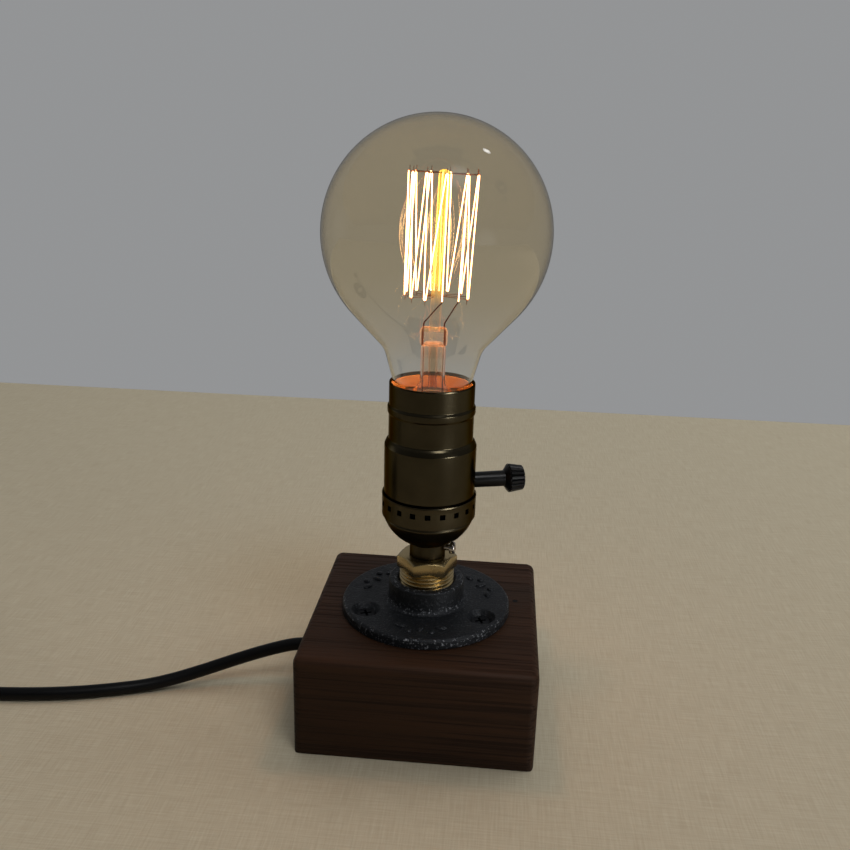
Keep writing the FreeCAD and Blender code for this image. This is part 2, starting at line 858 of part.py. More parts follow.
def knob():
    """Stem, shoulder and fluted grip, turned and then fluted."""
    stem_end = knob_inner_end + knob_stem_length
    grip = stem_end + knob_shoulder_length
    tip = grip + knob_grip_length
    body = turned(
        (0, knob_inner_end), (knob_stem_radius, knob_inner_end),
        (knob_stem_radius + knob_stem_flare, stem_end), (knob_grip_radius, grip),
        (knob_tip_radius, tip), (knob_dome_radius, tip + knob_dome_height),
        (0, tip + knob_dome_height),
    )
    flutes = []
    for i in range(flute_count):
        rings = []
        for z, radius in ((grip - flute_over, knob_grip_radius), (tip + flute_over, knob_tip_radius)):
            inside = radius - flute_depth
            outside = radius + flute_over
            half = flute_half_width * radius / knob_grip_radius
            wide = half * (outside - inside) / flute_depth
            rings.append(Part.makePolygon([V(inside, 0, z), V(outside, wide, z),
                                           V(outside, -wide, z), V(inside, 0, z)]))
        flutes.append(spun(Part.makeLoft(rings, True, True), i * 360 / flute_count))
    socket = rod(spindle_radius, knob_socket_depth, V(0, 0, knob_inner_end), UP)
    return on_stem(body.cut(Part.makeCompound(flutes)).cut(socket))


# ---- flex held inside the lamp ----------------------------------------------------------------

def riser_edges():
    """Axis of the flex from the block's left face, round the pocket and up to the switch."""
    points = [V(block_side, 0, exit_height), V(0, 0, exit_height), V(0, 0, flex_top)]
    return rounded_edges(points, [0, riser_bend_radius, 0])


def inner_flex():
    return tube_along(riser_edges(), flex_radius, flex_sides)


def flex_tie():
    """Nylon tie drawn tight round the flex in the pocket, too big to pass the exit hole."""
    bend = riser_bend_radius
    turn = math.asin((bend - tie_back + tie_width / 2) / bend)
    place = V(-bend + bend * math.sin(turn), 0, exit_height + bend - bend * math.cos(turn))
    way = V(math.cos(turn), 0, math.sin(turn))
    inner = flex_radius + 2 * seat_clearance
    outer = flex_radius + tie_thickness
    ring = turned((inner, -tie_width / 2), (outer, -tie_width / 2),
                  (outer, tie_width / 2), (inner, tie_width / 2))
    head = Part.makeBox(tie_head_length, tie_head_width, tie_width,
                        V(inner + tie_head_inset, -tie_head_width / 2, -tie_width / 2))
    tie = ring.fuse(head).removeSplitter()
    tie.rotate(V(0, 0, 0), V(0, 1, 0), 90 - math.degrees(turn))
    tie.translate(place)
    return tie


def switch_cores():
    """The flex's two insulated cores, out of the sheath and up to the terminal screws."""
    cores = []
    reach = terminal_recess_floor + core_radius + seat_clearance
    high = disc_bottom + terminal_rise - terminal_shank_radius - seat_clearance
    for side in (0, 180):
        points = [V(0, core_spacing, flex_top), V(0, core_spacing, flex_top + core_straight),
                  V(0, reach, disc_bottom - core_bend_drop), V(0, reach, high)]
        edges = rounded_edges(points, [0, core_bend_radius, core_bend_radius, 0])
        cores.append(spun(tube_along(edges, core_radius, core_sides), knob_turn + side))
    return cores


# ---- bulb -------------------------------------------------------------------------------------

def bulb_glass():
    """One blown wall; the globe is a true sphere, and the cone under it is tangent to it."""
    cone = math.radians(globe_cone)
    top = globe_middle + globe_radius
    corner = globe_radius * (math.cos(cone) + (1 + math.sin(cone)) * math.tan(cone))
    throat_z = rim + throat_rise
    cone_radius = corner - (top - throat_z) * math.tan(cone)
    return sheet([
        (glass_foot_radius, rim - glass_foot_drop), (glass_collar_radius, rim - glass_collar_drop),
        (glass_rim_radius, rim), (cone_radius, throat_z, throat_round),
        (corner, top, globe_radius), (0, top),
    ], glass_wall)


def base_radius():
    return screw_shell_radius - screw_shell_wall - base_clearance


def bulb_base_shell():
    """Thin metal screw base, its thread left smooth."""
    top = rim - base_skirt_drop
    radius = base_radius()
    skirt = radius + base_skirt_flare
    bottom = top - base_skirt_height - base_barrel_height
    return sheet([
        (base_mouth_radius, bottom - base_cone_height), (radius, bottom),
        (radius, top - base_skirt_height), (skirt, top - base_skirt_height + base_skirt_flare),
        (skirt, top),
    ], base_wall)


def bulb_base_insulator():
    top = rim - base_skirt_drop
    mouth = top - base_skirt_height - base_barrel_height - base_cone_height
    under = tip_end + tip_height + seat_clearance
    inside = base_radius() - base_wall - seat_clearance
    lip_radius = base_mouth_radius - insulator_mouth_gap
    return turned(
        (0, under), (tip_radius + insulator_foot_margin, under),
        (lip_radius, mouth - insulator_lip_drop), (lip_radius, mouth + insulator_lip_rise),
        (inside, mouth + base_cone_height + insulator_cone_gap),
        (inside, under + insulator_height), (0, under + insulator_height),
    )


def bulb_base_contact():
    return turned((0, tip_end), (tip_flat_radius, tip_end),
                  (tip_radius, tip_end + tip_crown_height), (tip_radius, tip_end + tip_height),
                  (0, tip_end + tip_height))


def stem_glass():
    """Flare, tube, pinch and exhaust tube, sealed into one piece of glass."""
    mouth = rim - flare_drop
    tube = sheet([
        (flare_radius, mouth), (flare_waist_radius, mouth + flare_waist_rise),
        (flare_neck_radius, mouth + flare_neck_rise), (stem_radius, mouth + flare_height),
        (stem_radius, pinch_bottom),
        (stem_shoulder_radius, pinch_bottom + stem_shoulder_height),
        (0, pinch_bottom + stem_shoulder_height),
    ], stem_wall)
    x, y = pinch_width / 2, pinch_thickness / 2
    points = [V(-x, -y, pinch_bottom), V(x, -y, pinch_bottom), V(x, y, pinch_bottom),
              V(-x, y, pinch_bottom)]
    oval = Part.Wire(rounded_edges(points, [y - seat_clearance] * 4, closed=True))
    pinch = Part.Face(oval).extrude(V(0, 0, pinch_height))
    pinch = pinch.makeChamfer(pinch_bevel, edges_at(pinch, pinch_top))
    high = pinch_bottom + exhaust_overlap
    low = high - exhaust_length
    exhaust = turned((exhaust_radius - exhaust_wall, low), (exhaust_radius, low),
                     (exhaust_radius, high), (exhaust_radius - exhaust_wall, high))
    glass = tube.fuse([pinch, exhaust])
    return glass.cut([glass_rod()] + lead_wires()).removeSplitter()


def tilted(shape):
    """The rod and its cage lean together about the pinch."""
    copy = shape.copy()
    copy.rotate(V(0, 0, pinch_bottom), V(0, 1, 0), cage_tilt)
    return copy


def glass_rod():
    foot = pinch_top - rod_foot_depth
    top = pinch_top + rod_height
    return tilted(turned((0, foot), (rod_radius, foot), (rod_radius, top - rod_tip_bevel),
                         (rod_radius - rod_tip_bevel, top), (0, top)))


def hook_angles(first, step, count):
    return [first - step * i for i in range(count)]


def support_wires(angles, radius, z, tail):
    """Thin wires that stand out of the rod, each bent over into a short tail."""
    wires = []
    for angle in angles:
        points = [from_front(angle, rod_radius, z), from_front(angle, radius, z),
                  from_front(angle, radius, z + tail)]
        edges = rounded_edges(points, [0, support_bend, 0])
        wires.append(tilted(tube_along(edges, support_radius, wire_sides)))
    return wires


def lower_hooks():
    """Angles of the lower end of each strand; the first and last are held by the leads."""
    return hook_angles(lower_hook_first, lower_hook_step, upper_hook_count + 1)


def upper_hooks():
    return hook_angles(upper_hook_first, upper_hook_step, upper_hook_count)


def upper_supports():
    z = pinch_top + cage_top_rise
    return support_wires(upper_hooks(), cage_top_radius, z, support_tail)


def lower_supports():
    z = pinch_top + cage_bottom_rise
    return support_wires(lower_hooks()[1:-1], cage_bottom_radius, z, -support_tail)


def filament_points():
    """Corners of the zig-zag, from one lead over every hook in turn to the other lead."""
    high = pinch_top + cage_top_rise - support_radius
    low = pinch_top + cage_bottom_rise + support_radius
    outward = filament_radius + support_radius + seat_clearance
    lows = [from_front(a, cage_bottom_radius + outward, low) for a in lower_hooks()]
    highs = [from_front(a, cage_top_radius + outward, high) for a in upper_hooks()]
    corners = [lows[0]]
    for peak, foot in zip(highs, lows[1:]):
        corners += [peak, foot]
    points = [corners[0]]
    up = 1
    for before, corner, after in zip(corners, corners[1:], corners[2:]):
        half = (before - corner).getAngle(after - corner) / 2
        points.append(corner + UP * (up * hook_radius * (1 / math.sin(half) - 1)))
        up = -up
    points.append(corners[-1])
    return points


def filament():
    """One wire, bent round each hook in a tight turn."""
    points = filament_points()
    radii = [0] + [hook_radius] * (len(points) - 2) + [0]
    return tilted(tube_along(rounded_edges(points, radii), filament_radius, wire_sides))


def lead_wires():
    """Two leads through the stem, bent out to the two ends of the filament."""
    ends = [lower_hooks()[0], lower_hooks()[-1]]
    low = pinch_top + cage_bottom_rise + support_radius - seat_clearance
    radius = cage_bottom_radius + filament_radius + support_radius + seat_clearance
    lean = math.sin(math.radians(cage_tilt)) * (low - pinch_bottom)
    wires = []
    for side, angle in zip((-1, 1), ends):
        hook = from_front(angle, radius, low - lead_tip_drop) + V(lean, 0, 0)
        points = [V(side * lead_spacing, 0, rim - lead_foot_drop),
                  V(side * lead_spacing, 0, pinch_top + lead_straight), hook,
                  hook + V(0, 0, lead_tip_drop - lead_tip_gap)]
        edges = rounded_edges(points, [0, lead_bend, lead_tip_bend, 0])
        wires.append(tube_along(edges, lead_radius, core_sides))
    return wires


# ---- free flex, its coil and its plug ---------------------------------------------------------

floor_z = flex_radius
coil_entry = V(coil_middle_x + coil_straight, coil_entry_y, floor_z)

flex_route = [
    V(block_side, 0, exit_height), V(block_side - exit_straight, 0, exit_height), V(-73, -1, 18.4),
    V(-88, -3.8, 13.9), V(-104, -8, 8.8), V(-118.5, -12.4, 5.0), V(-131, -16.6, floor_z),
    V(-147, -22.4, floor_z), V(-165, -27.4, floor_z), V(-184, -30.6, floor_z),
    V(-205, -32.6, floor_z), V(-226, -33.6, floor_z), V(-246, coil_entry_y, floor_z), coil_entry,
]

coil_middle_y = coil_entry_y + coil_radius
tail_z = floor_z + (coil_layers - 1) * coil_pitch
tail_start = V(coil_middle_x - coil_straight, coil_entry_y, tail_z)
plug_axis_z = plug_thickness / 2

tail_route = [
    tail_start, tail_start - V(tail_straight, 0, 0), V(-300, -32.8, 19.6), V(-316, -29.6, 12.6),
    V(-331, -27.4, 8.0), V(-344, -27, plug_axis_z), V(-354, -27, plug_axis_z),
]


def route_edges(route, name):
    """Runs joined by arcs as large as the shorter neighbour allows; prints their radii."""
    radii = [0]
    for before, point, after in zip(route, route[1:], route[2:]):
        turn = (point - before).getAngle(after - point)
        shorter = min((point - before).Length, (after - point).Length)
        radii.append(0.45 * shorter / math.tan(turn / 2))
    radii.append(0)
    edges = rounded_edges(route, radii)
    print(f"{name} bend radii: " + " ".join(f"{r:.0f}" for r in radii[1:-1]),
          f"length {sum(e.Length for e in edges):.1f}")
    return edges


def coil_point(turn):
    """Middle of the wound flex after so many turns, clockwise from above from the near side."""
    per_layer = coil_turns / coil_layers
    layer = turn / per_layer
    wave = abs(layer % 2 - 1)
    radius = coil_radius - coil_pitch * per_layer * (1 - wave)
    nearest = min(max(round(layer), 1), coil_layers - 1)
    climb = (turn - nearest * per_layer) / coil_climb + 0.5
    step = nearest - 1 + min(max(climb, 0), 1)
    angle = -math.pi / 2 - 2 * math.pi * turn
    return V(coil_middle_x + radius * math.cos(angle), coil_middle_y + radius * math.sin(angle),
             floor_z + coil_pitch * step)


def coil_way(turn):
    """Direction of the wound flex there."""
    if turn <= 0 or turn >= coil_turns:
        return V(-1, 0, 0)
    small = 1e-4
    return (coil_point(turn + small) - coil_point(turn - small)).normalize()


def biarc(start, start_way, end, end_way):
    """Two tangent arcs from one point and direction to another."""
    gap = end - start
    both = start_way + end_way
    a = 2 * (1 - start_way.dot(end_way))
    b = 2 * gap.dot(both)
    c = -gap.dot(gap)
    reach = (-b + math.sqrt(b * b - 4 * a * c)) / (2 * a)
    first, last = start + start_way * reach, end - end_way * reach
    joint = (first + last) * 0.5
    edges = []
    for p, corner, q in ((start, first, joint), (joint, last, end)):
        bend = (p - q).Length / (2 * reach)
        middle = (p + corner * (2 * bend) + q) * (1 / (2 * (1 + bend)))
        edges.append(Part.Arc(p, middle, q).toShape())
    return edges


def coil_edges():
    """Straight end, quarter turns as biarcs, straight end."""
    edges = [Part.LineSegment(coil_entry, coil_point(0)).toShape()]
    quarters = coil_turns * 4
    for i in range(quarters):
        a, b = i / 4, (i + 1) / 4
        edges += biarc(coil_point(a), coil_way(a), coil_point(b), coil_way(b))
    edges.append(Part.LineSegment(coil_point(coil_turns), tail_start).toShape())
    return edges


def print_coil_gap(edges):
    """Least gap of the coil to itself, on points along its middle line."""
    spacing = 2.5
    nearby = 60.0
    points = []
    travelled = 0.0
    for edge in edges:
        steps = max(int(edge.Length / spacing), 1)
        for i in range(steps):
            share = edge.FirstParameter + (edge.LastParameter - edge.FirstParameter) * i / steps
            points.append((travelled + edge.Length * i / steps, edge.valueAt(share)))
        travelled += edge.Length
    least = min((p - q).Length for i, (s, p) in enumerate(points)
                for t, q in points[i + 1:] if t - s > nearby)
    print(f"coil length {travelled:.1f}, least gap to itself {least - 2 * flex_radius:.2f}")


def cord_coil():
    edges = coil_edges()
    print_coil_gap(edges)
    return tube_along(edges, flex_radius, flex_sides)


def plug_body():
    """Flat moulded body with a grooved sleeve, lying with its pins towards -X."""
    rear = tail_route[-1]
    half = plug_width / 2
    narrow = plug_rear_width / 2
    start = plug_relief_length
    shoulder = start + plug_shoulder_length
    end = start + plug_body_length
    points = [V(start, -narrow, 0), V(start, narrow, 0), V(shoulder, half, 0),
              V(end, half, 0), V(end, -half, 0), V(shoulder, -half, 0)]
    small, large = plug_corner_round, plug_shoulder_round
    radii = [small, small, large, small, small, large]
    outline = Part.Wire(rounded_edges(points, radii, closed=True))
    body = Part.Face(outline).extrude(V(0, 0, plug_thickness))
    body.translate(V(0, 0, -plug_thickness / 2))
    flats = edges_at(body, plug_thickness / 2) + edges_at(body, -plug_thickness / 2)
    body = body.makeChamfer(plug_edge_bevel, flats)
    root = start + plug_relief_root
    sleeve = turned((0, 0), (plug_relief_end, 0), (plug_relief_radius, root), (0, root))
    inner = plug_relief_end - plug_groove_depth
    outer = plug_relief_radius + cut_over
    for i in range(plug_groove_count):
        z = plug_groove_first + i * plug_groove_pitch
        sleeve = sleeve.cut(turned((inner, z), (outer, z), (outer, z + plug_groove_width),
                                   (inner, z + plug_groove_width)))
    sleeve.rotate(V(0, 0, 0), V(0, 1, 0), 90)
    plug = body.fuse(sleeve)
    for side in (-1, 1):
        depth = pin_root_length + seat_clearance
        plug = plug.cut(rod(pin_radius + seat_clearance, depth + cut_over,
                            V(end - depth, side * pin_spacing / 2, 0), V(1, 0, 0)))
    plug = plug.removeSplitter()
    plug.rotate(V(0, 0, 0), UP, 180)
    plug.translate(rear)
    return plug


def plug_pins():
    rear = tail_route[-1]
    pins = []
    face = plug_relief_length + plug_body_length
    for side in (-1, 1):
        waist = pin_radius - pin_sleeve_inset
        pin = turned(
            (0, -pin_root_length), (pin_radius, -pin_root_length),
            (pin_radius, -pin_sleeve_slope), (waist, 0), (waist, pin_sleeve_length),
            (pin_radius, pin_sleeve_length + pin_sleeve_slope),
            (pin_radius, pin_length - pin_tip_bevel), (pin_radius - pin_tip_bevel, pin_length),
            (0, pin_length),
        )
        pin.rotate(V(0, 0, 0), V(0, 1, 0), -90)
        pin.translate(rear + V(-face, side * pin_spacing / 2, 0))
        pins.append(pin)
    return pins


# ---- nodes ------------------------------------------------------------------------------------

save("wood_block", wood_block())
save("floor_flange", floor_flange())
save("flange_screws", *flange_screws())
save("hex_bushing", hex_bushing())
save("threaded_nipple", threaded_nipple())
save("socket_cap", socket_cap())
save("cap_set_screw", cap_set_screw())
save("socket_shell", socket_shell())
save("insulating_liner", insulating_liner())
save("switch_base", switch_base())
save("socket_body", socket_body())
save("screw_shell", screw_shell())
save("centre_contact", centre_contact())
save("shell_rivets", *shell_rivets())
save("terminal_screws", *terminal_screws())
save("switch_blade", switch_blade())
save("switch_spindle", switch_spindle())
save("switch_cam", switch_cam())
save("knob", knob())
save("inner_flex", inner_flex())
save("flex_tie", flex_tie())
save("switch_cores", *switch_cores())
save("bulb_glass", bulb_glass())
save("bulb_base_shell", bulb_base_shell())
save("bulb_base_insulator", bulb_base_insulator())
save("bulb_base_contact", bulb_base_contact())
save("stem_glass", stem_glass())
save("glass_rod", glass_rod())
save("upper_supports", *upper_supports())
save("lower_supports", *lower_supports())
save("filament", filament())
save("lead_wires", *lead_wires())
save("cord", tube_along(route_edges(flex_route, "free flex"), flex_radius, flex_sides))
save("cord_coil", cord_coil())
save("cord_tail", tube_along(route_edges(tail_route, "tail"), flex_radius, flex_sides))
save("plug_body", plug_body())
save("plug_pins", *plug_pins())
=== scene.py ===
import logging
import math
from contextlib import contextmanager
from dataclasses import dataclass, field
from enum import Enum
from functools import cache
from typing import Any, Iterator, Sequence

import bpy
from mathutils import Matrix, Vector


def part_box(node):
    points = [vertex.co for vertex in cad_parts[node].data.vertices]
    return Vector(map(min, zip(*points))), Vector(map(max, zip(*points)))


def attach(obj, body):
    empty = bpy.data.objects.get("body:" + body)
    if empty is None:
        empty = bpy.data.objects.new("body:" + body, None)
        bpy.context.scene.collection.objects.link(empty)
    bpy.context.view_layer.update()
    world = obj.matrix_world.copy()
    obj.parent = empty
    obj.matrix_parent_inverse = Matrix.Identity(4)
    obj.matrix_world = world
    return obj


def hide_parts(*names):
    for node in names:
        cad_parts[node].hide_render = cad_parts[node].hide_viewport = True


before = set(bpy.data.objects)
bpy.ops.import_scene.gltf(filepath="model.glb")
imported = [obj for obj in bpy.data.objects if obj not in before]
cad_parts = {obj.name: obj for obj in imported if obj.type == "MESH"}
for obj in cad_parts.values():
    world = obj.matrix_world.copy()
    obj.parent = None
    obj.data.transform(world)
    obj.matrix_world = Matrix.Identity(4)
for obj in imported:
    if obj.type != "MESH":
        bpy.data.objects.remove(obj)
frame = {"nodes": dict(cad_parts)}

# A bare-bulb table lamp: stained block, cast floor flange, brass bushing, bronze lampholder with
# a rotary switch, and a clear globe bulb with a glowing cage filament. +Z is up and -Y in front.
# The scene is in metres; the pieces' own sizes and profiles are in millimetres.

log = logging.getLogger("lamp")

MM = 0.001
TURN = 2 * math.pi
Colour = tuple[float, float, float]

STEM_TURN = 17.0        # degrees of the switch stem from +X towards +Y
STEM_HEIGHT = 108.6     # of the stem's axis over the table, in millimetres


# ---- shader building ---------------------------------------------------------------------------

class Value:
    """A socket in an expression; arithmetic on it adds Math nodes."""

    def __init__(self, shader: "Shader", socket: bpy.types.NodeSocket) -> None:
        """Wrap a socket of a shader's tree."""
        self.shader = shader
        self.socket = socket

    def _math(self, operation: str, first: Any, second: Any = None, clamp: bool = False) -> "Value":
        """Add a Math node.

        Args:
            operation: Blender's name of the operation.
            first: the first operand, a Value or a number.
            second: the second operand, where the operation has one.
            clamp: whether the result is kept between 0 and 1.

        Returns:
            The node's result.
        """
        inputs = {0: first} if second is None else {0: first, 1: second}
        settings = {"operation": operation, "use_clamp": clamp}
        return self.shader.node("ShaderNodeMath", settings, inputs)

    def __add__(self, other: Any) -> "Value":
        """Sum."""
        return self._math("ADD", self, other)

    __radd__ = __add__

    def __sub__(self, other: Any) -> "Value":
        """Difference."""
        return self._math("SUBTRACT", self, other)

    def __rsub__(self, other: Any) -> "Value":
        """Difference, with this value taken away."""
        return self._math("SUBTRACT", other, self)

    def __mul__(self, other: Any) -> "Value":
        """Product."""
        return self._math("MULTIPLY", self, other)

    __rmul__ = __mul__

    def __truediv__(self, other: Any) -> "Value":
        """Quotient."""
        return self._math("DIVIDE", self, other)

    def __pow__(self, other: Any) -> "Value":
        """Power."""
        return self._math("POWER", self, other)

    def clamped(self) -> "Value":
        """This value kept between 0 and 1."""
        return self._math("ADD", self, 0.0, clamp=True)


class Shader:
    """The nodes of one material or of the world."""

    def __init__(self, owner: bpy.types.ID) -> None:
        """Start an empty node tree on a material or a world."""
        self.owner = owner
        owner.use_nodes = True
        self.tree = owner.node_tree
        self.tree.nodes.clear()

    def node(self, kind: str, settings: dict[str, Any] | None = None,
             inputs: dict[Any, Any] | None = None, output: Any = 0) -> Value | None:
        """Add a node of any kind.

        Args:
            kind: the node's type.
            settings: its own properties; "stops" are a ramp's (place, colour) pairs.
            inputs: values or links of its sockets, by name or number.
            output: name or number of the socket that is returned.

        Returns:
            One of the node's outputs, or None where it has none.
        """
        made = self.tree.nodes.new(kind)
        for key, setting in (settings or {}).items():
            if key == "stops":
                self._set_stops(made.color_ramp, setting)
            else:
                setattr(made, key, setting)
        for key, given in (inputs or {}).items():
            if isinstance(given, Value):
                self.tree.links.new(given.socket, made.inputs[key])
            else:
                made.inputs[key].default_value = given
        if not made.outputs:
            return None
        return Value(self, made.outputs[output])

    @staticmethod
    def _set_stops(ramp: bpy.types.ColorRamp, stops: Sequence[tuple[float, Colour]]) -> None:
        """Give a colour ramp its stops."""
        while len(ramp.elements) < len(stops):
            ramp.elements.new(1.0)
        for element, (place, colour) in zip(ramp.elements, stops):
            element.position = place
            element.color = (*colour, 1.0)

    def place(self, scale: Colour = (1, 1, 1), turn: Colour = (0, 0, 0)) -> Value:
        """Object coordinates in metres, scaled and turned."""
        here = self.node("ShaderNodeTexCoord", output="Object")
        return self.node("ShaderNodeMapping", inputs={"Vector": here, "Scale": scale,
                                                      "Rotation": turn})

    def noise(self, where: Value, scale: float, detail: float = 3.0, rough: float = 0.5) -> Value:
        """Noise between 0 and 1 at a place."""
        return self.node("ShaderNodeTexNoise", inputs={"Vector": where, "Scale": scale,
                                                       "Detail": detail, "Roughness": rough})

    def ramp(self, factor: Value, *stops: tuple[float, Colour]) -> Value:
        """Colour picked from stops."""
        return self.node("ShaderNodeValToRGB", {"stops": stops}, {"Fac": factor})

    def mix(self, factor: Any, first: Any, second: Any) -> Value:
        """Colour between two colours."""
        whole = [(*c, 1.0) if isinstance(c, tuple) else c for c in (first, second)]
        return self.node("ShaderNodeMix", {"data_type": "RGBA"},
                         {0: factor, 6: whole[0], 7: whole[1]}, output=2)

    def height(self) -> Value:
        """Height over the table, in millimetres."""
        return self.node("ShaderNodeSeparateXYZ", inputs={0: self.place()}, output="Z") / MM

    def facing(self) -> Value:
        """0 where a surface faces the viewer, 1 at its outline."""
        return self.node("ShaderNodeLayerWeight", inputs={"Blend": 0.5}, output="Facing")

    def towards(self, way: Value, goal: Vector, inner: float, outer: float) -> Value:
        """A soft round patch of the surroundings.

        Args:
            way: the direction that is looked at.
            goal: the direction of the patch's middle.
            inner: half the angle that is fully lit, in degrees.
            outer: half the angle at which it has faded out, in degrees.

        Returns:
            1 in the patch, 0 outside.
        """
        share = self.node("ShaderNodeVectorMath", {"operation": "DOT_PRODUCT"},
                          {0: way, 1: goal.normalized()}, output="Value")
        return self.node("ShaderNodeMapRange", {"interpolation_type": "SMOOTHSTEP"}, {
            "Value": share, "From Min": math.cos(math.radians(outer)),
            "From Max": math.cos(math.radians(inner))})

    def bump(self, height: Value, strength: float, depth: float) -> Value:
        """Normal shaken by a height.

        Args:
            height: the height, 0 to 1.
            strength: share of the effect that is used.
            depth: the real height of 1, in metres.

        Returns:
            The normal.
        """
        return self.node("ShaderNodeBump", inputs={"Height": height, "Strength": strength,
                                                   "Distance": depth})

    def surface(self, shader: Value) -> bpy.types.ID:
        """Join a shader to the output and return the tree's owner."""
        is_world = isinstance(self.owner, bpy.types.World)
        kind = "ShaderNodeOutputWorld" if is_world else "ShaderNodeOutputMaterial"
        self.node(kind, inputs={"Surface": shader})
        return self.owner

    def glass_surface(self, glass: Value, tint: Any) -> bpy.types.ID:
        """Join glass to the output; a lamp's light goes straight through it, tinted."""
        clear = self.node("ShaderNodeBsdfTransparent", inputs={"Color": tint})
        lamp_ray = self.node("ShaderNodeLightPath", output="Is Shadow Ray")
        return self.surface(self.node("ShaderNodeMixShader",
                                      inputs={0: lamp_ray, 1: glass, 2: clear}))

    def principled(self, **inputs: Any) -> Value:
        """The main shader; an underscore stands for a space in a socket's name."""
        named = {key.replace("_", " "): given for key, given in inputs.items()}
        return self.node("ShaderNodeBsdfPrincipled", inputs=named)


class Finish:
    """A finish that a piece can be given."""

    name: str

    @cache
    def material(self) -> bpy.types.Material:
        """The finish's material, made once."""
        return self.build(Shader(bpy.data.materials.new(f"{self.name}_finish")))

    def build(self, shader: Shader) -> bpy.types.Material:
        """Make the material; each finish has its own."""
        raise NotImplementedError

    def dress(self, obj: bpy.types.Object) -> None:
        """Put the finish on a piece."""
        obj.data.materials.clear()
        obj.data.materials.append(self.material())


@dataclass(frozen=True)
class StainedWood(Finish):
    """Softwood under a dark stain, its grain running left to right."""

    name: str = "stained_wood"
    dark: Colour = (0.0048, 0.0023, 0.0012)
    middle: Colour = (0.0145, 0.0068, 0.0032)
    light: Colour = (0.030, 0.0132, 0.0060)
    pinhole: tuple[float, float, float] = (41.8, 10.3, 46.4)
    pinhole_radius: float = 1.0

    def build(self, shader: Shader) -> bpy.types.Material:
        """Fine late-wood lines and short pores over wide warm bands, and one old pinhole whose inside
        is painted near black as painted shade.
        """
        sway = shader.noise(shader.place((7, 14, 14)), 1.0, 2.0)
        bands = shader.noise(shader.place((3, 26, 40)), 1.0, 3.0, 0.6)
        lines = shader.noise(shader.place((11, 520, 950), (0, 0.012, 0.02)), 1.0, 3.0, 0.6)
        pores = shader.noise(shader.place((110, 1500, 2400)), 1.0, 2.0)
        late = ((lines + sway * 0.30 - 0.62) * 5.0).clamped()
        warm = (bands * 0.8 + sway * 0.35 - 0.08).clamped()
        wood = shader.ramp(warm, (0.30, self.middle), (0.66, self.light))
        away = shader.node("ShaderNodeVectorMath", {"operation": "DISTANCE"}, {
            0: shader.place(), 1: Vector(self.pinhole) * MM}, output="Value")
        # painted shade: the pinhole is a dip in the bump, with its inside painted near black
        hole = (away / MM * -2.0 + (self.pinhole_radius * 2.0 + 1.0)).clamped()
        dark = (late * 0.62 + ((pores - 0.6) * 3.0).clamped() * 0.45).clamped()
        height = (1.0 - late * 0.7 - pores * 0.3 - hole).clamped()
        return shader.surface(shader.principled(
            Base_Color=shader.mix(hole, shader.mix(dark, wood, self.dark), (0.0008,) * 3),
            Specular_IOR_Level=0.13,
            Roughness=(0.52 + late * 0.25).clamped(),
            Normal=shader.bump(height, 0.6, 0.3 * MM)))


@dataclass(frozen=True)
class CastIron(Finish):
    """Blackened casting with a sandy skin, and painted glints along its edges and in its corner."""

    name: str = "cast_iron"
    colour: Colour = (0.0085, 0.0098, 0.0120)
    glint_colour: Colour = (0.50, 0.52, 0.56)
    hub_edge: float = 61.6
    hub_root: float = 53.0
    rim_edge: float = 38.4

    def build(self, shader: Shader) -> bpy.types.Material:
        """Sand texture in the bump, and painted glints: bright specks scattered in the colour."""
        where = shader.place()
        sand = shader.noise(where, 900.0, 2.0, 0.7)
        lumps = shader.noise(where, 210.0, 3.0, 0.6)
        patches = shader.noise(where, 60.0, 2.0)
        level = shader.height()
        reach = shader.node("ShaderNodeVectorMath", {"operation": "LENGTH"},
                            {0: shader.place((1, 1, 0))}, output="Value") / MM
        edges = ((level - self.hub_edge) * 1.5 + 1.0).clamped() + (
            (reach - self.rim_edge) * 0.8 + 1.0).clamped()
        root = (1.0 - (level - self.hub_root) * (level - self.hub_root) * 0.3).clamped()
        # painted highlight: glints painted as bright specks along the edges and in the hub's corner
        glint_places = ((edges + root * 0.6) * ((patches - 0.30) * 4.0).clamped() + 0.12).clamped()
        painted_glints = ((sand - 0.585) * 14.0).clamped() * glint_places
        colour = shader.mix((painted_glints * 0.42).clamped(), self.colour, self.glint_colour)
        height = (sand * 0.5 + lumps * 0.5).clamped()
        return shader.surface(shader.principled(
            Base_Color=colour, Metallic=0.55, Roughness=(0.36 + lumps * 0.3).clamped(),
            Specular_IOR_Level=0.4, Normal=shader.bump(height, 0.9, 0.7 * MM)))


@dataclass(frozen=True)
class PatinaMetal(Finish):
    """Plain or plated metal with cloudy patina and fine marks, and painted shade below a given height.
    """

    name: str
    colour: Colour
    patina: Colour
    roughness: float = 0.3
    spread: float = 0.16
    cloud: float = 60.0
    scratches: float = 0.12
    edge: Colour = (1.0, 1.0, 1.0)
    painted_shade_below: float = 0.0

    def build(self, shader: Shader) -> bpy.types.Material:
        """Clouds move the colour and the gloss; fine marks run round the axis."""
        cloudy = shader.noise(shader.place(), self.cloud, 4.0, 0.6)
        marks = shader.noise(shader.place((120, 120, 2600)), 1.0, 2.0)
        amount = ((cloudy - 0.38) * 2.4).clamped()
        colour = shader.mix(amount, self.colour, self.patina)
        # painted shade: below the given height the colour goes near black, standing in for the shade
        # inside the cap
        if self.painted_shade_below:
            painted_shade_mask = (self.painted_shade_below - shader.height()).clamped()
            colour = shader.mix(painted_shade_mask, colour, (0.002, 0.002, 0.001))
        return shader.surface(shader.principled(
            Base_Color=colour, Metallic=1.0, Specular_Tint=(*self.edge, 1.0),
            Roughness=(self.roughness + cloudy * self.spread).clamped(),
            Normal=shader.bump(marks, self.scratches, 0.05 * MM)))


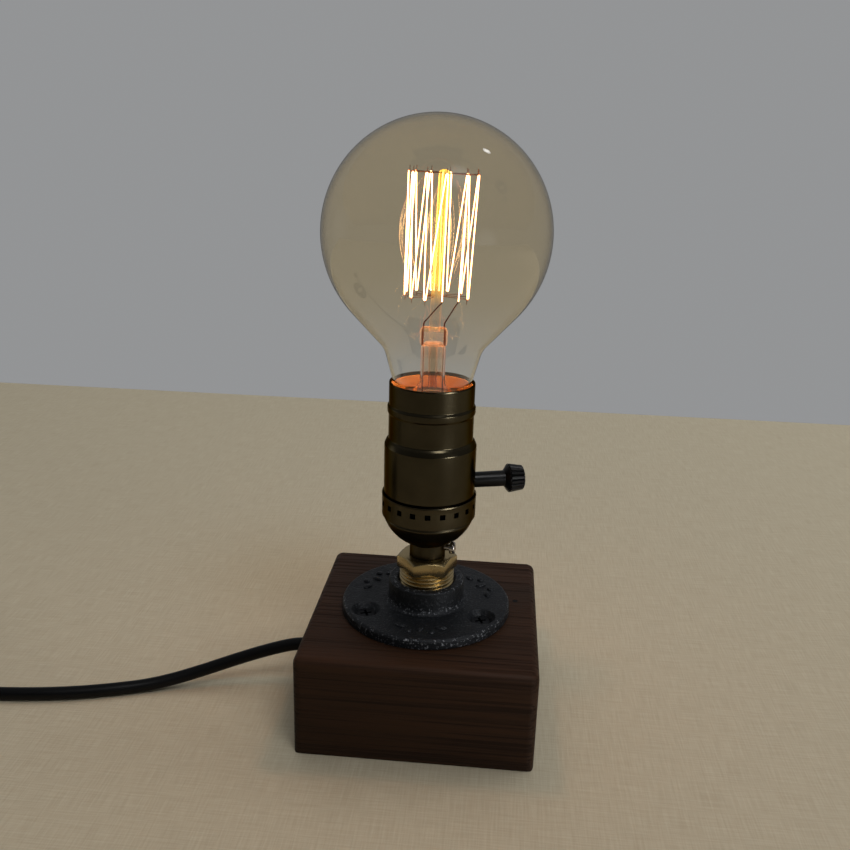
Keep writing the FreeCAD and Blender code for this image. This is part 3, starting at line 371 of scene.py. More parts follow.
@dataclass(frozen=True)
class MouldedPlastic(Finish):
    """Moulded plastic, rubber or fibre with a faint skin texture."""

    name: str
    colour: Colour
    roughness: float = 0.45
    grain: float = 700.0
    relief: float = 0.25
    shine: float = 0.5

    def build(self, shader: Shader) -> bpy.types.Material:
        """Fine grain in the bump and a little variation in the gloss."""
        where = shader.place()
        grain = shader.noise(where, self.grain, 3.0)
        broad = shader.noise(where, 40.0, 3.0)
        lighter = tuple(min(1.0, c * 1.25 + 0.001) for c in self.colour)
        return shader.surface(shader.principled(
            Base_Color=shader.mix((broad - 0.3).clamped(), self.colour, lighter),
            Roughness=(self.roughness + broad * 0.15).clamped(),
            Specular_IOR_Level=self.shine,
            Normal=shader.bump(grain, self.relief, 0.08 * MM)))


@dataclass(frozen=True)
class BlownGlass(Finish):
    """Glass with an amber coat, thin at the neck and deep where the wall is seen edge on."""

    name: str
    coat: Colour
    neck: Colour
    edge: Colour
    thin_at: float
    full_at: float
    waves: float = 0.04

    def build(self, shader: Shader) -> bpy.types.Material:
        """Refracting wall with faint waves; lamps shine straight through it."""
        waves = shader.noise(shader.place((1, 1, 0.4)), 55.0, 2.0)
        depth = ((shader.height() - self.thin_at) / (self.full_at - self.thin_at)).clamped()
        tint = shader.mix(depth, self.neck, self.coat)
        rim = ((shader.facing() - 0.68) * 4.0).clamped()
        glass = shader.principled(
            Base_Color=shader.mix(rim, tint, self.edge), Transmission_Weight=1.0, IOR=1.5,
            Roughness=0.0, Normal=shader.bump(waves, self.waves, 0.4 * MM))
        return shader.glass_surface(glass, tint)


@dataclass(frozen=True)
class Glow(Finish):
    """Hot wire: white in its middle, red at its outline."""

    name: str
    core: Colour
    rim: Colour
    strength: float

    def build(self, shader: Shader) -> bpy.types.Material:
        """Emission from core to rim by the angle of view, with a little flicker along it."""
        flicker = shader.noise(shader.place(), 260.0, 2.0)
        outer = (shader.facing() * 3.2 + flicker * 0.4 - 0.25).clamped()
        colour = shader.mix(outer, self.core, self.rim)
        return shader.surface(shader.principled(
            Base_Color=(0.02, 0.01, 0.005, 1.0), Emission_Color=colour,
            Emission_Strength=self.strength))


@dataclass(frozen=True)
class PaintedGlowGlass(Finish):
    """Glass with a painted glow, emission that stands in for the filament's light in it: at its
    outline low down, all through higher up.
    """

    name: str
    tint: Colour
    foot: Colour
    top: Colour
    start: float
    end: float
    body: float

    def build(self, shader: Shader) -> bpy.types.Material:
        """Painted glow, streaked, that grows with height and towards the outline, over refracting
        glass.
        """
        share = ((shader.height() - self.start) / (self.end - self.start)).clamped()
        streaks = shader.noise(shader.place((1100, 1100, 10)), 1.0, 2.0)
        amount = (shader.facing() ** 2.0 + share * self.body).clamped()
        lit = (amount * (1.25 - (streaks - 0.35) * 3.0)).clamped()
        # painted light: emission on glass that is no lamp, standing in for the filament's light
        glow = shader.mix(lit, (0.0, 0.0, 0.0), shader.mix(share, self.foot, self.top))
        glass = shader.principled(
            Base_Color=shader.mix(share, (1.0, 0.93, 0.85), self.tint), Roughness=0.03,
            Transmission_Weight=1.0, IOR=1.5, Emission_Color=glow, Emission_Strength=1.0)
        return shader.glass_surface(glass, (*self.tint, 1.0))


@dataclass(frozen=True)
class PaleCloth(Finish):
    """Plain woven table cloth."""

    name: str = "pale_cloth"
    colour: Colour = (0.425, 0.375, 0.275)
    shade: Colour = (0.355, 0.308, 0.220)

    def build(self, shader: Shader) -> bpy.types.Material:
        """Fine slubby weave, a little lighter and darker from thread to thread."""
        warp = shader.noise(shader.place((1300, 60, 1)), 1.0, 2.0)
        weft = shader.noise(shader.place((60, 1300, 1)), 1.0, 2.0)
        weave = (warp * 0.5 + weft * 0.5).clamped()
        return shader.surface(shader.principled(
            Base_Color=shader.mix(((weave - 0.35) * 3.0).clamped(), self.shade, self.colour),
            Roughness=0.9, Specular_IOR_Level=0.15,
            Normal=shader.bump(weave, 0.5, 0.4 * MM)))


class Finishes(Enum):
    """The lamp's finishes, by what they are on."""

    BLOCK = StainedWood()
    FLANGE = CastIron()
    SCREW = PatinaMetal("blackened_steel", (0.02, 0.021, 0.024), (0.008, 0.008, 0.009), 0.38)
    SET_SCREW = PatinaMetal("nickel_screw", (0.50, 0.47, 0.45), (0.22, 0.20, 0.19), 0.16)
    BUSHING = PatinaMetal("aged_brass", (0.50, 0.385, 0.195), (0.33, 0.245, 0.115), 0.21, 0.10,
                          70.0, 0.03)
    BRONZE = PatinaMetal("antique_bronze", (0.076, 0.064, 0.040), (0.049, 0.040, 0.024),
                         0.26, 0.10, edge=(0.42, 0.36, 0.26))
    # shell: the cap's bronze painted 0.85 times as dark as painted shade, a little glossier, and with
    # painted shade below 103.9 mm
    SHELL = PatinaMetal("shade_darkened_bronze", (0.064, 0.054, 0.034), (0.041, 0.034, 0.020),
                        0.18, 0.10, edge=(0.42, 0.36, 0.26), painted_shade_below=103.9)
    STEEL = PatinaMetal("bright_steel", (0.5, 0.5, 0.49), (0.32, 0.31, 0.3), 0.28)
    BRIGHT_BRASS = PatinaMetal("bright_brass", (0.62, 0.44, 0.17), (0.42, 0.30, 0.13), 0.22)
    BASE_METAL = PatinaMetal("bulb_base", (0.62, 0.60, 0.56), (0.42, 0.40, 0.36), 0.24)
    SOLDER = PatinaMetal("solder", (0.5, 0.5, 0.5), (0.3, 0.3, 0.3), 0.4)
    LEAD = PatinaMetal("lead_wire", (0.20, 0.065, 0.045), (0.10, 0.035, 0.025), 0.4)
    SUPPORT = PatinaMetal("support_wire", (0.26, 0.12, 0.08), (0.16, 0.07, 0.05), 0.4)
    KNOB = MouldedPlastic("knob_black", (0.0014, 0.0014, 0.0017), 0.26, 500.0, 0.15, 0.2)
    FLEX = MouldedPlastic("flex_black", (0.0010, 0.0011, 0.0013), 0.32, 300.0, 0.12, 0.16)
    PLUG = MouldedPlastic("plug_black", (0.004, 0.004, 0.0045), 0.42)
    PHENOLIC = MouldedPlastic("phenolic", (0.012, 0.010, 0.009), 0.4)
    NYLON = MouldedPlastic("nylon", (0.72, 0.71, 0.66), 0.4)
    FIBRE = MouldedPlastic("fibre", (0.74, 0.33, 0.10), 0.8, 400.0, 0.5)
    CORES = MouldedPlastic("core_insulation", (0.17, 0.06, 0.02), 0.4)
    BLACK_GLASS = MouldedPlastic("black_glass", (0.006, 0.006, 0.008), 0.12, 200.0, 0.05)
    GLOBE = BlownGlass("amber_glass", (0.905, 0.830, 0.675), (0.960, 0.942, 0.89),
                       (0.55, 0.44, 0.27), 158.0, 196.0)
    # stem and rod glass carry a painted glow of the filament's light
    STEM = PaintedGlowGlass("stem_glass", (1.0, 0.93, 0.85), (0.16, 0.04, 0.02), (1.0, 0.40, 0.18),
                    166.0, 177.0, 0.08)
    ROD = PaintedGlowGlass("rod_glass", (1.0, 0.86, 0.45), (0.42, 0.15, 0.06), (0.78, 0.44, 0.02),
                   188.0, 198.0, 0.9)
    FILAMENT = Glow("filament_glow", (1.0, 0.62, 0.30), (0.085, 0.018, 0.008), 15.0)

    def on(self, obj: bpy.types.Object) -> None:
        """Put this finish on a piece."""
        self.value.dress(obj)


# ---- modelling helpers -------------------------------------------------------------------------

def select_only(*objects: bpy.types.Object) -> None:
    """Leave edit mode, then select only these objects, the first one active."""
    active = bpy.context.view_layer.objects.active
    if active is not None and active.mode != "OBJECT":
        bpy.ops.object.mode_set(mode="OBJECT")
    bpy.ops.object.select_all(action="DESELECT")
    for obj in objects:
        obj.select_set(True)
    bpy.context.view_layer.objects.active = objects[0] if objects else None


@contextmanager
def editing(obj: bpy.types.Object, select: str = "SELECT") -> Iterator[None]:
    """Edit one object's mesh, with everything in it selected or deselected."""
    select_only(obj)
    bpy.ops.object.mode_set(mode="EDIT")
    bpy.ops.mesh.select_mode(type="VERT")
    bpy.ops.mesh.select_all(action=select)
    yield
    bpy.ops.object.mode_set(mode="OBJECT")


def named(name: str) -> bpy.types.Object:
    """The object just added, under its own name."""
    obj = bpy.context.view_layer.objects.active
    obj.name = obj.data.name = name
    return obj


def apply_all(obj: bpy.types.Object) -> bpy.types.Object:
    """Apply the object's modifiers and its place, turn and scale."""
    select_only(obj)
    for modifier in list(obj.modifiers):
        bpy.ops.object.modifier_apply(modifier=modifier.name)
    bpy.ops.object.transform_apply(location=True, rotation=True, scale=True)
    return obj


def modify(obj: bpy.types.Object, kind: str, **settings: Any) -> bpy.types.Object:
    """Finish an object with one modifier, applied at once."""
    modifier = obj.modifiers.new(kind.lower(), kind)
    for key, setting in settings.items():
        setattr(modifier, key, setting)
    return apply_all(obj)


def smooth(obj: bpy.types.Object, angle: float = 32.0) -> bpy.types.Object:
    """Shade smooth, with edges sharper than an angle in degrees left sharp."""
    select_only(obj)
    bpy.ops.object.shade_smooth_by_angle(angle=math.radians(angle))
    return obj


def bevelled(obj: bpy.types.Object, width: float, segments: int = 2,
             angle: float = 35.0) -> bpy.types.Object:
    """Round the edges that are sharper than an angle in degrees."""
    return modify(obj, "BEVEL", width=width, segments=segments, limit_method="ANGLE",
                  angle_limit=math.radians(angle), use_clamp_overlap=True)


def joined(name: str, pieces: Sequence[bpy.types.Object]) -> bpy.types.Object:
    """Several meshes as one object."""
    select_only(*pieces)
    bpy.ops.object.join()
    return named(name)


def drawn(name: str, points: Sequence[Vector]) -> bpy.types.Object:
    """A line of edges, extruded from point to point."""
    select_only()
    bpy.ops.mesh.primitive_plane_add(size=MM)
    obj = named(name)
    with editing(obj):
        bpy.ops.mesh.merge(type="CENTER")
        bpy.ops.transform.translate(value=points[0])
        for before, after in zip(points, points[1:]):
            bpy.ops.mesh.extrude_region_move(TRANSFORM_OT_translate={"value": after - before})
    return obj


def rounded(corners: Sequence[tuple], closed: bool, degrees: float = 9.0) -> list[Vector]:
    """Points of a profile whose corners may be rounded.

    Args:
        corners: (r, z) or (r, z, round) in millimetres.
        closed: whether the last corner joins the first.
        degrees: the most that one step of an arc turns.

    Returns:
        Points in the XZ plane, in metres.
    """
    full = [(Vector((c[0], 0, c[1])) * MM, (c[2] if len(c) > 2 else 0) * MM) for c in corners]
    points = []
    count = len(full)
    for i, (corner, radius) in enumerate(full):
        if radius <= 0 or (not closed and i in (0, count - 1)):
            points.append(corner)
            continue
        into = (full[i - 1][0] - corner).normalized()
        out = (full[(i + 1) % count][0] - corner).normalized()
        half = into.angle(out) / 2
        centre = corner + (into + out).normalized() * (radius / math.sin(half))
        start = corner + into * (radius / math.tan(half)) - centre
        turn = math.pi - 2 * half
        axis = into.cross(out).normalized()
        steps = max(2, math.ceil(math.degrees(turn) / degrees))
        for step in range(steps + 1):
            points.append(centre + Matrix.Rotation(-turn * step / steps, 3, axis) @ start)
    if closed:
        points.append(points[0].copy())
    return points


def turned(name: str, corners: Sequence[tuple], closed: bool = True, steps: int = 96,
           degrees: float = 9.0) -> bpy.types.Object:
    """A body of revolution about Z.

    Args:
        name: the object's name.
        corners: the profile, as rounded() takes it, in millimetres.
        closed: whether the profile is a closed loop, and not one open line.
        steps: number of steps round the axis.
        degrees: the most that one step of a rounded corner turns.

    Returns:
        The object.
    """
    points = rounded(corners, closed, degrees)
    kept = [p for i, p in enumerate(points) if i == 0 or (p - points[i - 1]).length > 1e-7]
    if closed and kept[-1].x < 1e-9 and kept[-2].x < 1e-9:
        kept.pop()
    obj = drawn(name, kept)
    with editing(obj):
        bpy.ops.mesh.spin(steps=steps, angle=TURN, center=(0, 0, 0), axis=(0, 0, 1))
        bpy.ops.mesh.select_all(action="SELECT")
        bpy.ops.mesh.remove_doubles(threshold=1e-6)
        bpy.ops.mesh.delete_loose()
        bpy.ops.mesh.select_all(action="SELECT")
        bpy.ops.mesh.normals_make_consistent(inside=False)
    return obj


def outwards(obj: bpy.types.Object) -> bpy.types.Object:
    """Make an open sheet round Z face away from the axis."""
    total = sum(f.normal.dot(Vector((f.center.x, f.center.y, 0))) * f.area
                for f in obj.data.polygons)
    if total < 0:
        with editing(obj):
            bpy.ops.mesh.flip_normals()
    return obj


def walled(obj: bpy.types.Object, wall: float) -> bpy.types.Object:
    """Give an outward-facing sheet its wall, inwards."""
    return modify(outwards(obj), "SOLIDIFY", thickness=wall, offset=-1.0, use_even_offset=True,
                  use_rim=True)


def cut_away(obj: bpy.types.Object, *cutters: bpy.types.Object) -> bpy.types.Object:
    """Cut shapes out of an object and delete them."""
    for cutter in cutters:
        modify(obj, "BOOLEAN", operation="DIFFERENCE", solver="EXACT", object=cutter)
        bpy.data.objects.remove(cutter)
    return obj


def brick(name: str, middle: Sequence[float], size: Sequence[float],
          turn: float = 0.0) -> bpy.types.Object:
    """A box.

    Args:
        name: the object's name.
        middle: its middle, in millimetres.
        size: its edges, in millimetres.
        turn: degrees that it is turned about its own upright axis.

    Returns:
        The object.
    """
    select_only()
    bpy.ops.mesh.primitive_cube_add(size=1)
    obj = named(name)
    obj.data.transform(Matrix.Translation([m * MM for m in middle])
                       @ Matrix.Rotation(math.radians(turn), 4, "Z")
                       @ Matrix.Diagonal([*(edge * MM for edge in size), 1.0]))
    return obj


def laid_down(obj: bpy.types.Object, turn: float, height: float) -> bpy.types.Object:
    """Lay a piece that was turned about Z on its side.

    Args:
        obj: the piece.
        turn: degrees of its axis from +X.
        height: its axis's height, in metres.

    Returns:
        The piece.
    """
    obj.data.transform(Matrix.Rotation(math.radians(turn), 4, "Z")
                       @ Matrix.Translation((0, 0, height)) @ Matrix.Rotation(math.pi / 2, 4, "Y"))
    return obj


def turned_about_z(obj: bpy.types.Object, degrees: float) -> bpy.types.Object:
    """Turn a finished mesh about the lamp's axis."""
    obj.data.transform(Matrix.Rotation(math.radians(degrees), 4, "Z"))
    return obj


def copied(obj: bpy.types.Object, name: str, move: Matrix) -> bpy.types.Object:
    """A copy with its own mesh, moved by a matrix."""
    copy = obj.copy()
    copy.data = obj.data.copy()
    copy.name = copy.data.name = name
    copy.data.transform(move)
    bpy.context.collection.objects.link(copy)
    return copy


def place(obj: bpy.types.Object, body: str, finish: Finishes, slot: str,
          *nodes: str) -> bpy.types.Object:
    """Dress a finished piece, attach it to its body and hide the CAD nodes that it stands for.

    Args:
        obj: the piece.
        body: the body that it moves with.
        finish: its finish.
        slot: not used.
        nodes: the CAD nodes that it stands for.

    Returns:
        The piece.
    """
    finish.on(obj)
    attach(obj, body)
    if nodes:
        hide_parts(*nodes)
    log.info("%s rides on %s", obj.name, body)
    return obj


def round_curve(name: str, routes: Sequence[Sequence[Vector]], radius: float, order: int = 0,
                sides: int = 3, resolution: int = 6) -> bpy.types.Object:
    """Round tubes along routes, as one curve object.

    Args:
        name: the object's name.
        routes: the points of each tube.
        radius: the tubes' radius.
        order: 0 for straight runs, else the order of the smooth spline.
        sides: resolution of the round section.
        resolution: steps of the spline between two of its points.

    Returns:
        The object.
    """
    curve = bpy.data.curves.new(name, "CURVE")
    curve.dimensions = "3D"
    curve.bevel_depth = radius
    curve.bevel_resolution = sides
    curve.use_fill_caps = True
    curve.resolution_u = resolution
    for route in routes:
        spline = curve.splines.new("NURBS" if order else "POLY")
        spline.points.add(len(route) - 1)
        for point, position in zip(spline.points, route):
            point.co = (*position, 1.0)
        if order:
            spline.order_u = order
            spline.use_endpoint_u = True
    obj = bpy.data.objects.new(name, curve)
    bpy.context.collection.objects.link(obj)
    return obj


def wires(name: str, routes: Sequence[Sequence[Vector]], radius: float,
          order: int = 0) -> bpy.types.Object:
    """Round wires along routes, as one mesh."""
    select_only(round_curve(name, routes, radius, order))
    bpy.ops.object.convert(target="MESH")
    return smooth(named(name), 50.0)


def screwed(name: str, tooth: Sequence[Vector], pitch: float, span: tuple[float, float],
            turns: int, capped: bool) -> bpy.types.Object:
    """A round thread: one tooth screwed round and up, cut off flat at both ends.

    Args:
        name: the object's name.
        tooth: the tooth's profile, in metres, from below the thread's foot.
        pitch: its rise in one turn, in millimetres.
        span: heights of the thread's foot and top, in millimetres.
        turns: number of turns that are made before the cuts.
        capped: whether the cuts are closed with a face.

    Returns:
        The object.
    """
    thread = drawn(name, tooth)
    modify(thread, "SCREW", steps=72, render_steps=72, screw_offset=pitch * MM,
           iterations=turns, use_merge_vertices=True, merge_threshold=1e-6, axis="Z")
    if capped:
        outwards(thread)
    for height, keep_above in zip(span, (True, False)):
        with editing(thread):
            bpy.ops.mesh.bisect(plane_co=(0, 0, height * MM), plane_no=(0, 0, 1), use_fill=capped,
                                clear_inner=keep_above, clear_outer=not keep_above)
    return thread


def from_front(degrees: float, radius: float, z: float) -> Vector:
    """Point at an angle from the front, -Y, towards +X; millimetres in, metres out."""
    turn = math.radians(degrees)
    return Vector((radius * math.sin(turn), -radius * math.cos(turn), z)) * MM


def low(node: str) -> float:
    """Height of a CAD node's underside, in millimetres."""
    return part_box(node)[0].z / MM


def high(node: str) -> float:
    """Height of a CAD node's top, in millimetres."""
    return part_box(node)[1].z / MM


# ---- sub-assemblies ----------------------------------------------------------------------------

@dataclass
class Block:
    """The wooden block, with its wiring pocket underneath and the flex's hole on the left."""

    corner_round: float = 4.0
    top_round: float = 3.4
    foot_round: float = 1.0
    pocket_radius: float = 12.5
    pocket_height: float = 38.0
    exit_radius: float = 4.0
    exit_height: float = 21.8

    def build(self) -> None:
        """Model the block from a cube."""
        lowest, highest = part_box("wood_block")
        size = highest - lowest
        select_only()
        bpy.ops.mesh.primitive_cube_add(size=1, location=(lowest + highest) / 2, scale=size)
        block = apply_all(named("block"))
        self._round_edges(block)
        cut_away(block, self._pocket(), self._exit_hole(lowest.x))
        smooth(block, 40)
        place(block, "root", Finishes.BLOCK, "stained_wood", "wood_block")

    def _round_edges(self, block: bpy.types.Object) -> None:
        """Round upright edges, top edges and foot edges, each with its own radius."""
        top = max(v.co.z for v in block.data.vertices)
        weights = block.data.attributes.new("bevel_weight_edge", "FLOAT", "EDGE")
        for edge in block.data.edges:
            heights = [block.data.vertices[i].co.z for i in edge.vertices]
            radius = self.corner_round
            if min(heights) > top - MM:
                radius = self.top_round
            elif max(heights) < MM:
                radius = self.foot_round
            weights.data[edge.index].value = radius / self.corner_round
        modify(block, "BEVEL", width=self.corner_round * MM, segments=6, limit_method="WEIGHT")

    def _pocket(self) -> bpy.types.Object:
        """Cutter of the wiring pocket."""
        return turned("pocket", [(0, -1), (self.pocket_radius, -1),
                                 (self.pocket_radius, self.pocket_height), (0, self.pocket_height)])

    def _exit_hole(self, side: float) -> bpy.types.Object:
        """Cutter of the flex's hole."""
        length = -side / MM + 1
        hole = turned("exit_hole", [(0, 0), (self.exit_radius, 0), (self.exit_radius, length),
                                    (0, length)], steps=48)
        hole.data.transform(Matrix.Translation((0, 0, self.exit_height * MM))
                            @ Matrix.Rotation(-math.pi / 2, 4, "Y"))
        return hole


@dataclass
class Flange:
    """The cast floor flange and the three screws that hold it down."""

    radius: float = 38.8
    hub_radius: float = 17.5
    bore: float = 12.55
    plate: float = 4.8
    hole_circle: float = 30.0
    hole_turn: float = -30.0
    hole_radius: float = 3.0
    countersink: float = 6.7
    mark_turns: tuple[float, ...] = (-90.0, 150.0, 30.0)
    lump: float = 1.6
    lump_step: float = 9.0
    screw_head: float = 4.6
    screw_shank: float = 2.0
    screw_length: float = 24.0
    screw_point: float = 4.0
    recess_arm: tuple[float, ...] = (5.2, 1.1, 3.0)
    recess_turns: tuple[int, ...] = (20, 110)

    def build(self) -> None:
        """Model the casting, its marks and its screws."""
        foot, top = low("floor_flange"), high("floor_flange")
        face = foot + self.plate
        casting = turned("flange", [
            (self.bore, foot), (self.radius, foot, 0.6), (self.radius, face, 1.6),
            (self.hub_radius, face, 2.4), (self.hub_radius - 0.2, top, 1.0),
            (self.bore + 1.2, top, 0.3), (self.bore, top - 1.2),
        ], steps=144)
        cut_away(casting, self._holes(foot, face))
        smooth(casting, 38)
        place(casting, "root", Finishes.FLANGE, "cast_iron", "floor_flange")
        marks = self._marks(face)
        place(marks, "root", Finishes.FLANGE, "cast_iron")
        place(self._screws(), "root", Finishes.SCREW, "black_steel", "flange_screws")

    def _centres(self) -> list[Vector]:
        """Middles of the holes, round the axis."""
        turns = [math.radians(self.hole_turn + 120 * i) for i in range(3)]
        return [Vector((math.cos(a), math.sin(a), 0)) * self.hole_circle * MM for a in turns]

    def _holes(self, foot: float, face: float) -> bpy.types.Object:
        """Cutters of the countersunk holes, as one object."""
        cone = self.countersink - self.hole_radius
        hole = turned("hole", [
            (0, foot - 1), (self.hole_radius, foot - 1), (self.hole_radius, face - cone),
            (self.countersink, face), (self.countersink + 0.5, face + 1), (0, face + 1),
        ], steps=48)
        holes = [copied(hole, f"hole_{i}", Matrix.Translation(centre))
                 for i, centre in enumerate(self._centres())]
        bpy.data.objects.remove(hole)
        return joined("holes", holes)

    def _marks(self, face: float) -> bpy.types.Object:
        """Plain rough foundry lumps between the holes, a bent row of them in each group."""
        marks = []
        for turn in self.mark_turns:
            for j in range(5):
                select_only()
                bpy.ops.mesh.primitive_uv_sphere_add(segments=20, ring_count=10, radius=1)
                mark = named(f"lump_{turn:.0f}_{j}")
                length = self.lump * (1.0 if j % 2 else 1.7)
                mark.data.transform(Matrix.Diagonal((self.lump * MM, length * MM, 0.9 * MM, 1.0)))
                angle = math.radians(turn + (j - 2) * self.lump_step)
                reach = (self.hole_circle + (1.8 if j % 2 else -1.0)) * MM
                mark.data.transform(
                    Matrix.Translation((math.cos(angle) * reach, math.sin(angle) * reach,
                                        face * MM)) @ Matrix.Rotation(angle + 0.7 * j, 4, "Z"))
                marks.append(mark)
        return smooth(joined("flange_marks", marks), 40)

    def _screws(self) -> bpy.types.Object:
        """Countersunk wood screws with a cross recess and a turned thread."""
        top = high("flange_screws")
        cone = self.screw_head - self.screw_shank
        screw = turned("screw", [
            (0, top), (self.screw_head, top, 0.25), (self.screw_shank, top - cone),
            (self.screw_shank, top - self.screw_length + self.screw_point),
            (0, top - self.screw_length),
        ], steps=40)
        cut_away(screw, *[brick(f"arm_{turn}", (0, 0, top), self.recess_arm, turn)
                          for turn in self.recess_turns])
        screws = [copied(screw, f"screw_{i}", Matrix.Translation(centre))
                  for i, centre in enumerate(self._centres())]
        bpy.data.objects.remove(screw)
        return smooth(joined("flange_wood_screws", screws), 35)


@dataclass
class Bushing:
    """The hexagon reducing bushing, with three turns of its pipe thread showing."""

    across_flats: float = 24.0
    turn: float = 38.5
    pitch: float = 1.814
    thread_radius: float = 12.5
    thread_depth: float = 1.1
    bore: float = 5.05
    head_height: float = 6.6
    chamfer: float = 0.7
    chamfer_angle: float = 30.0

    def build(self) -> None:
        """Model the hexagon from a six-sided cylinder and the thread with a screw modifier."""
        foot, top = low("hex_bushing"), high("hex_bushing")
        hex_foot = top - self.head_height
        corner = self.across_flats / math.sqrt(3)
        select_only()
        bpy.ops.mesh.primitive_cylinder_add(vertices=6, radius=corner * MM,
                                            depth=(top - hex_foot) * MM)
        head = named("hex_head")
        head.data.transform(Matrix.Translation((0, 0, (top + hex_foot) / 2 * MM))
                            @ Matrix.Rotation(math.radians(self.turn), 4, "Z"))
        head = self._chamfered(head, hex_foot, top, corner)
        thread = self._thread(foot, hex_foot)
        bore = turned("bushing_bore", [(0, foot - 1), (self.bore, foot - 1), (self.bore, top + 1),
                                       (0, top + 1)], steps=48)
        cut_away(head, bore)
        bushing = joined("bushing", [bevelled(head, 0.18 * MM, 2, 20), thread])
        smooth(bushing, 26)
        place(bushing, "root", Finishes.BUSHING, "brass", "hex_bushing")

    def _chamfered(self, head: bpy.types.Object, foot: float, top: float,
                   corner: float) -> bpy.types.Object:
        """Cut the turned chamfer into the hexagon's upper corners."""
        inner = self.across_flats / 2 - self.chamfer
        rise = (corner + 1 - inner) * math.tan(math.radians(self.chamfer_angle))
        keep = turned("chamfer", [(0, foot - 1), (corner + 1, foot - 1), (corner + 1, top - rise),
                                  (inner, top), (0, top)], steps=192)
        modify(head, "BOOLEAN", operation="INTERSECT", solver="EXACT", object=keep)
        bpy.data.objects.remove(keep)
        return head

    def _thread(self, foot: float, top: float) -> bpy.types.Object:
        """The pipe thread, a little way up into the hexagon."""
        crest, root = self.thread_radius, self.thread_radius - self.thread_depth
        turns = math.ceil((top - foot) / self.pitch) + 2
        start = foot - self.pitch
        tooth = [Vector((r, 0, start + share * self.pitch)) * MM for r, share in (
            (root, 0.0), (crest, 0.42), (crest, 0.58), (root, 1.0))]
        return screwed("thread", tooth, self.pitch, (foot, top + 0.4), turns, capped=True)


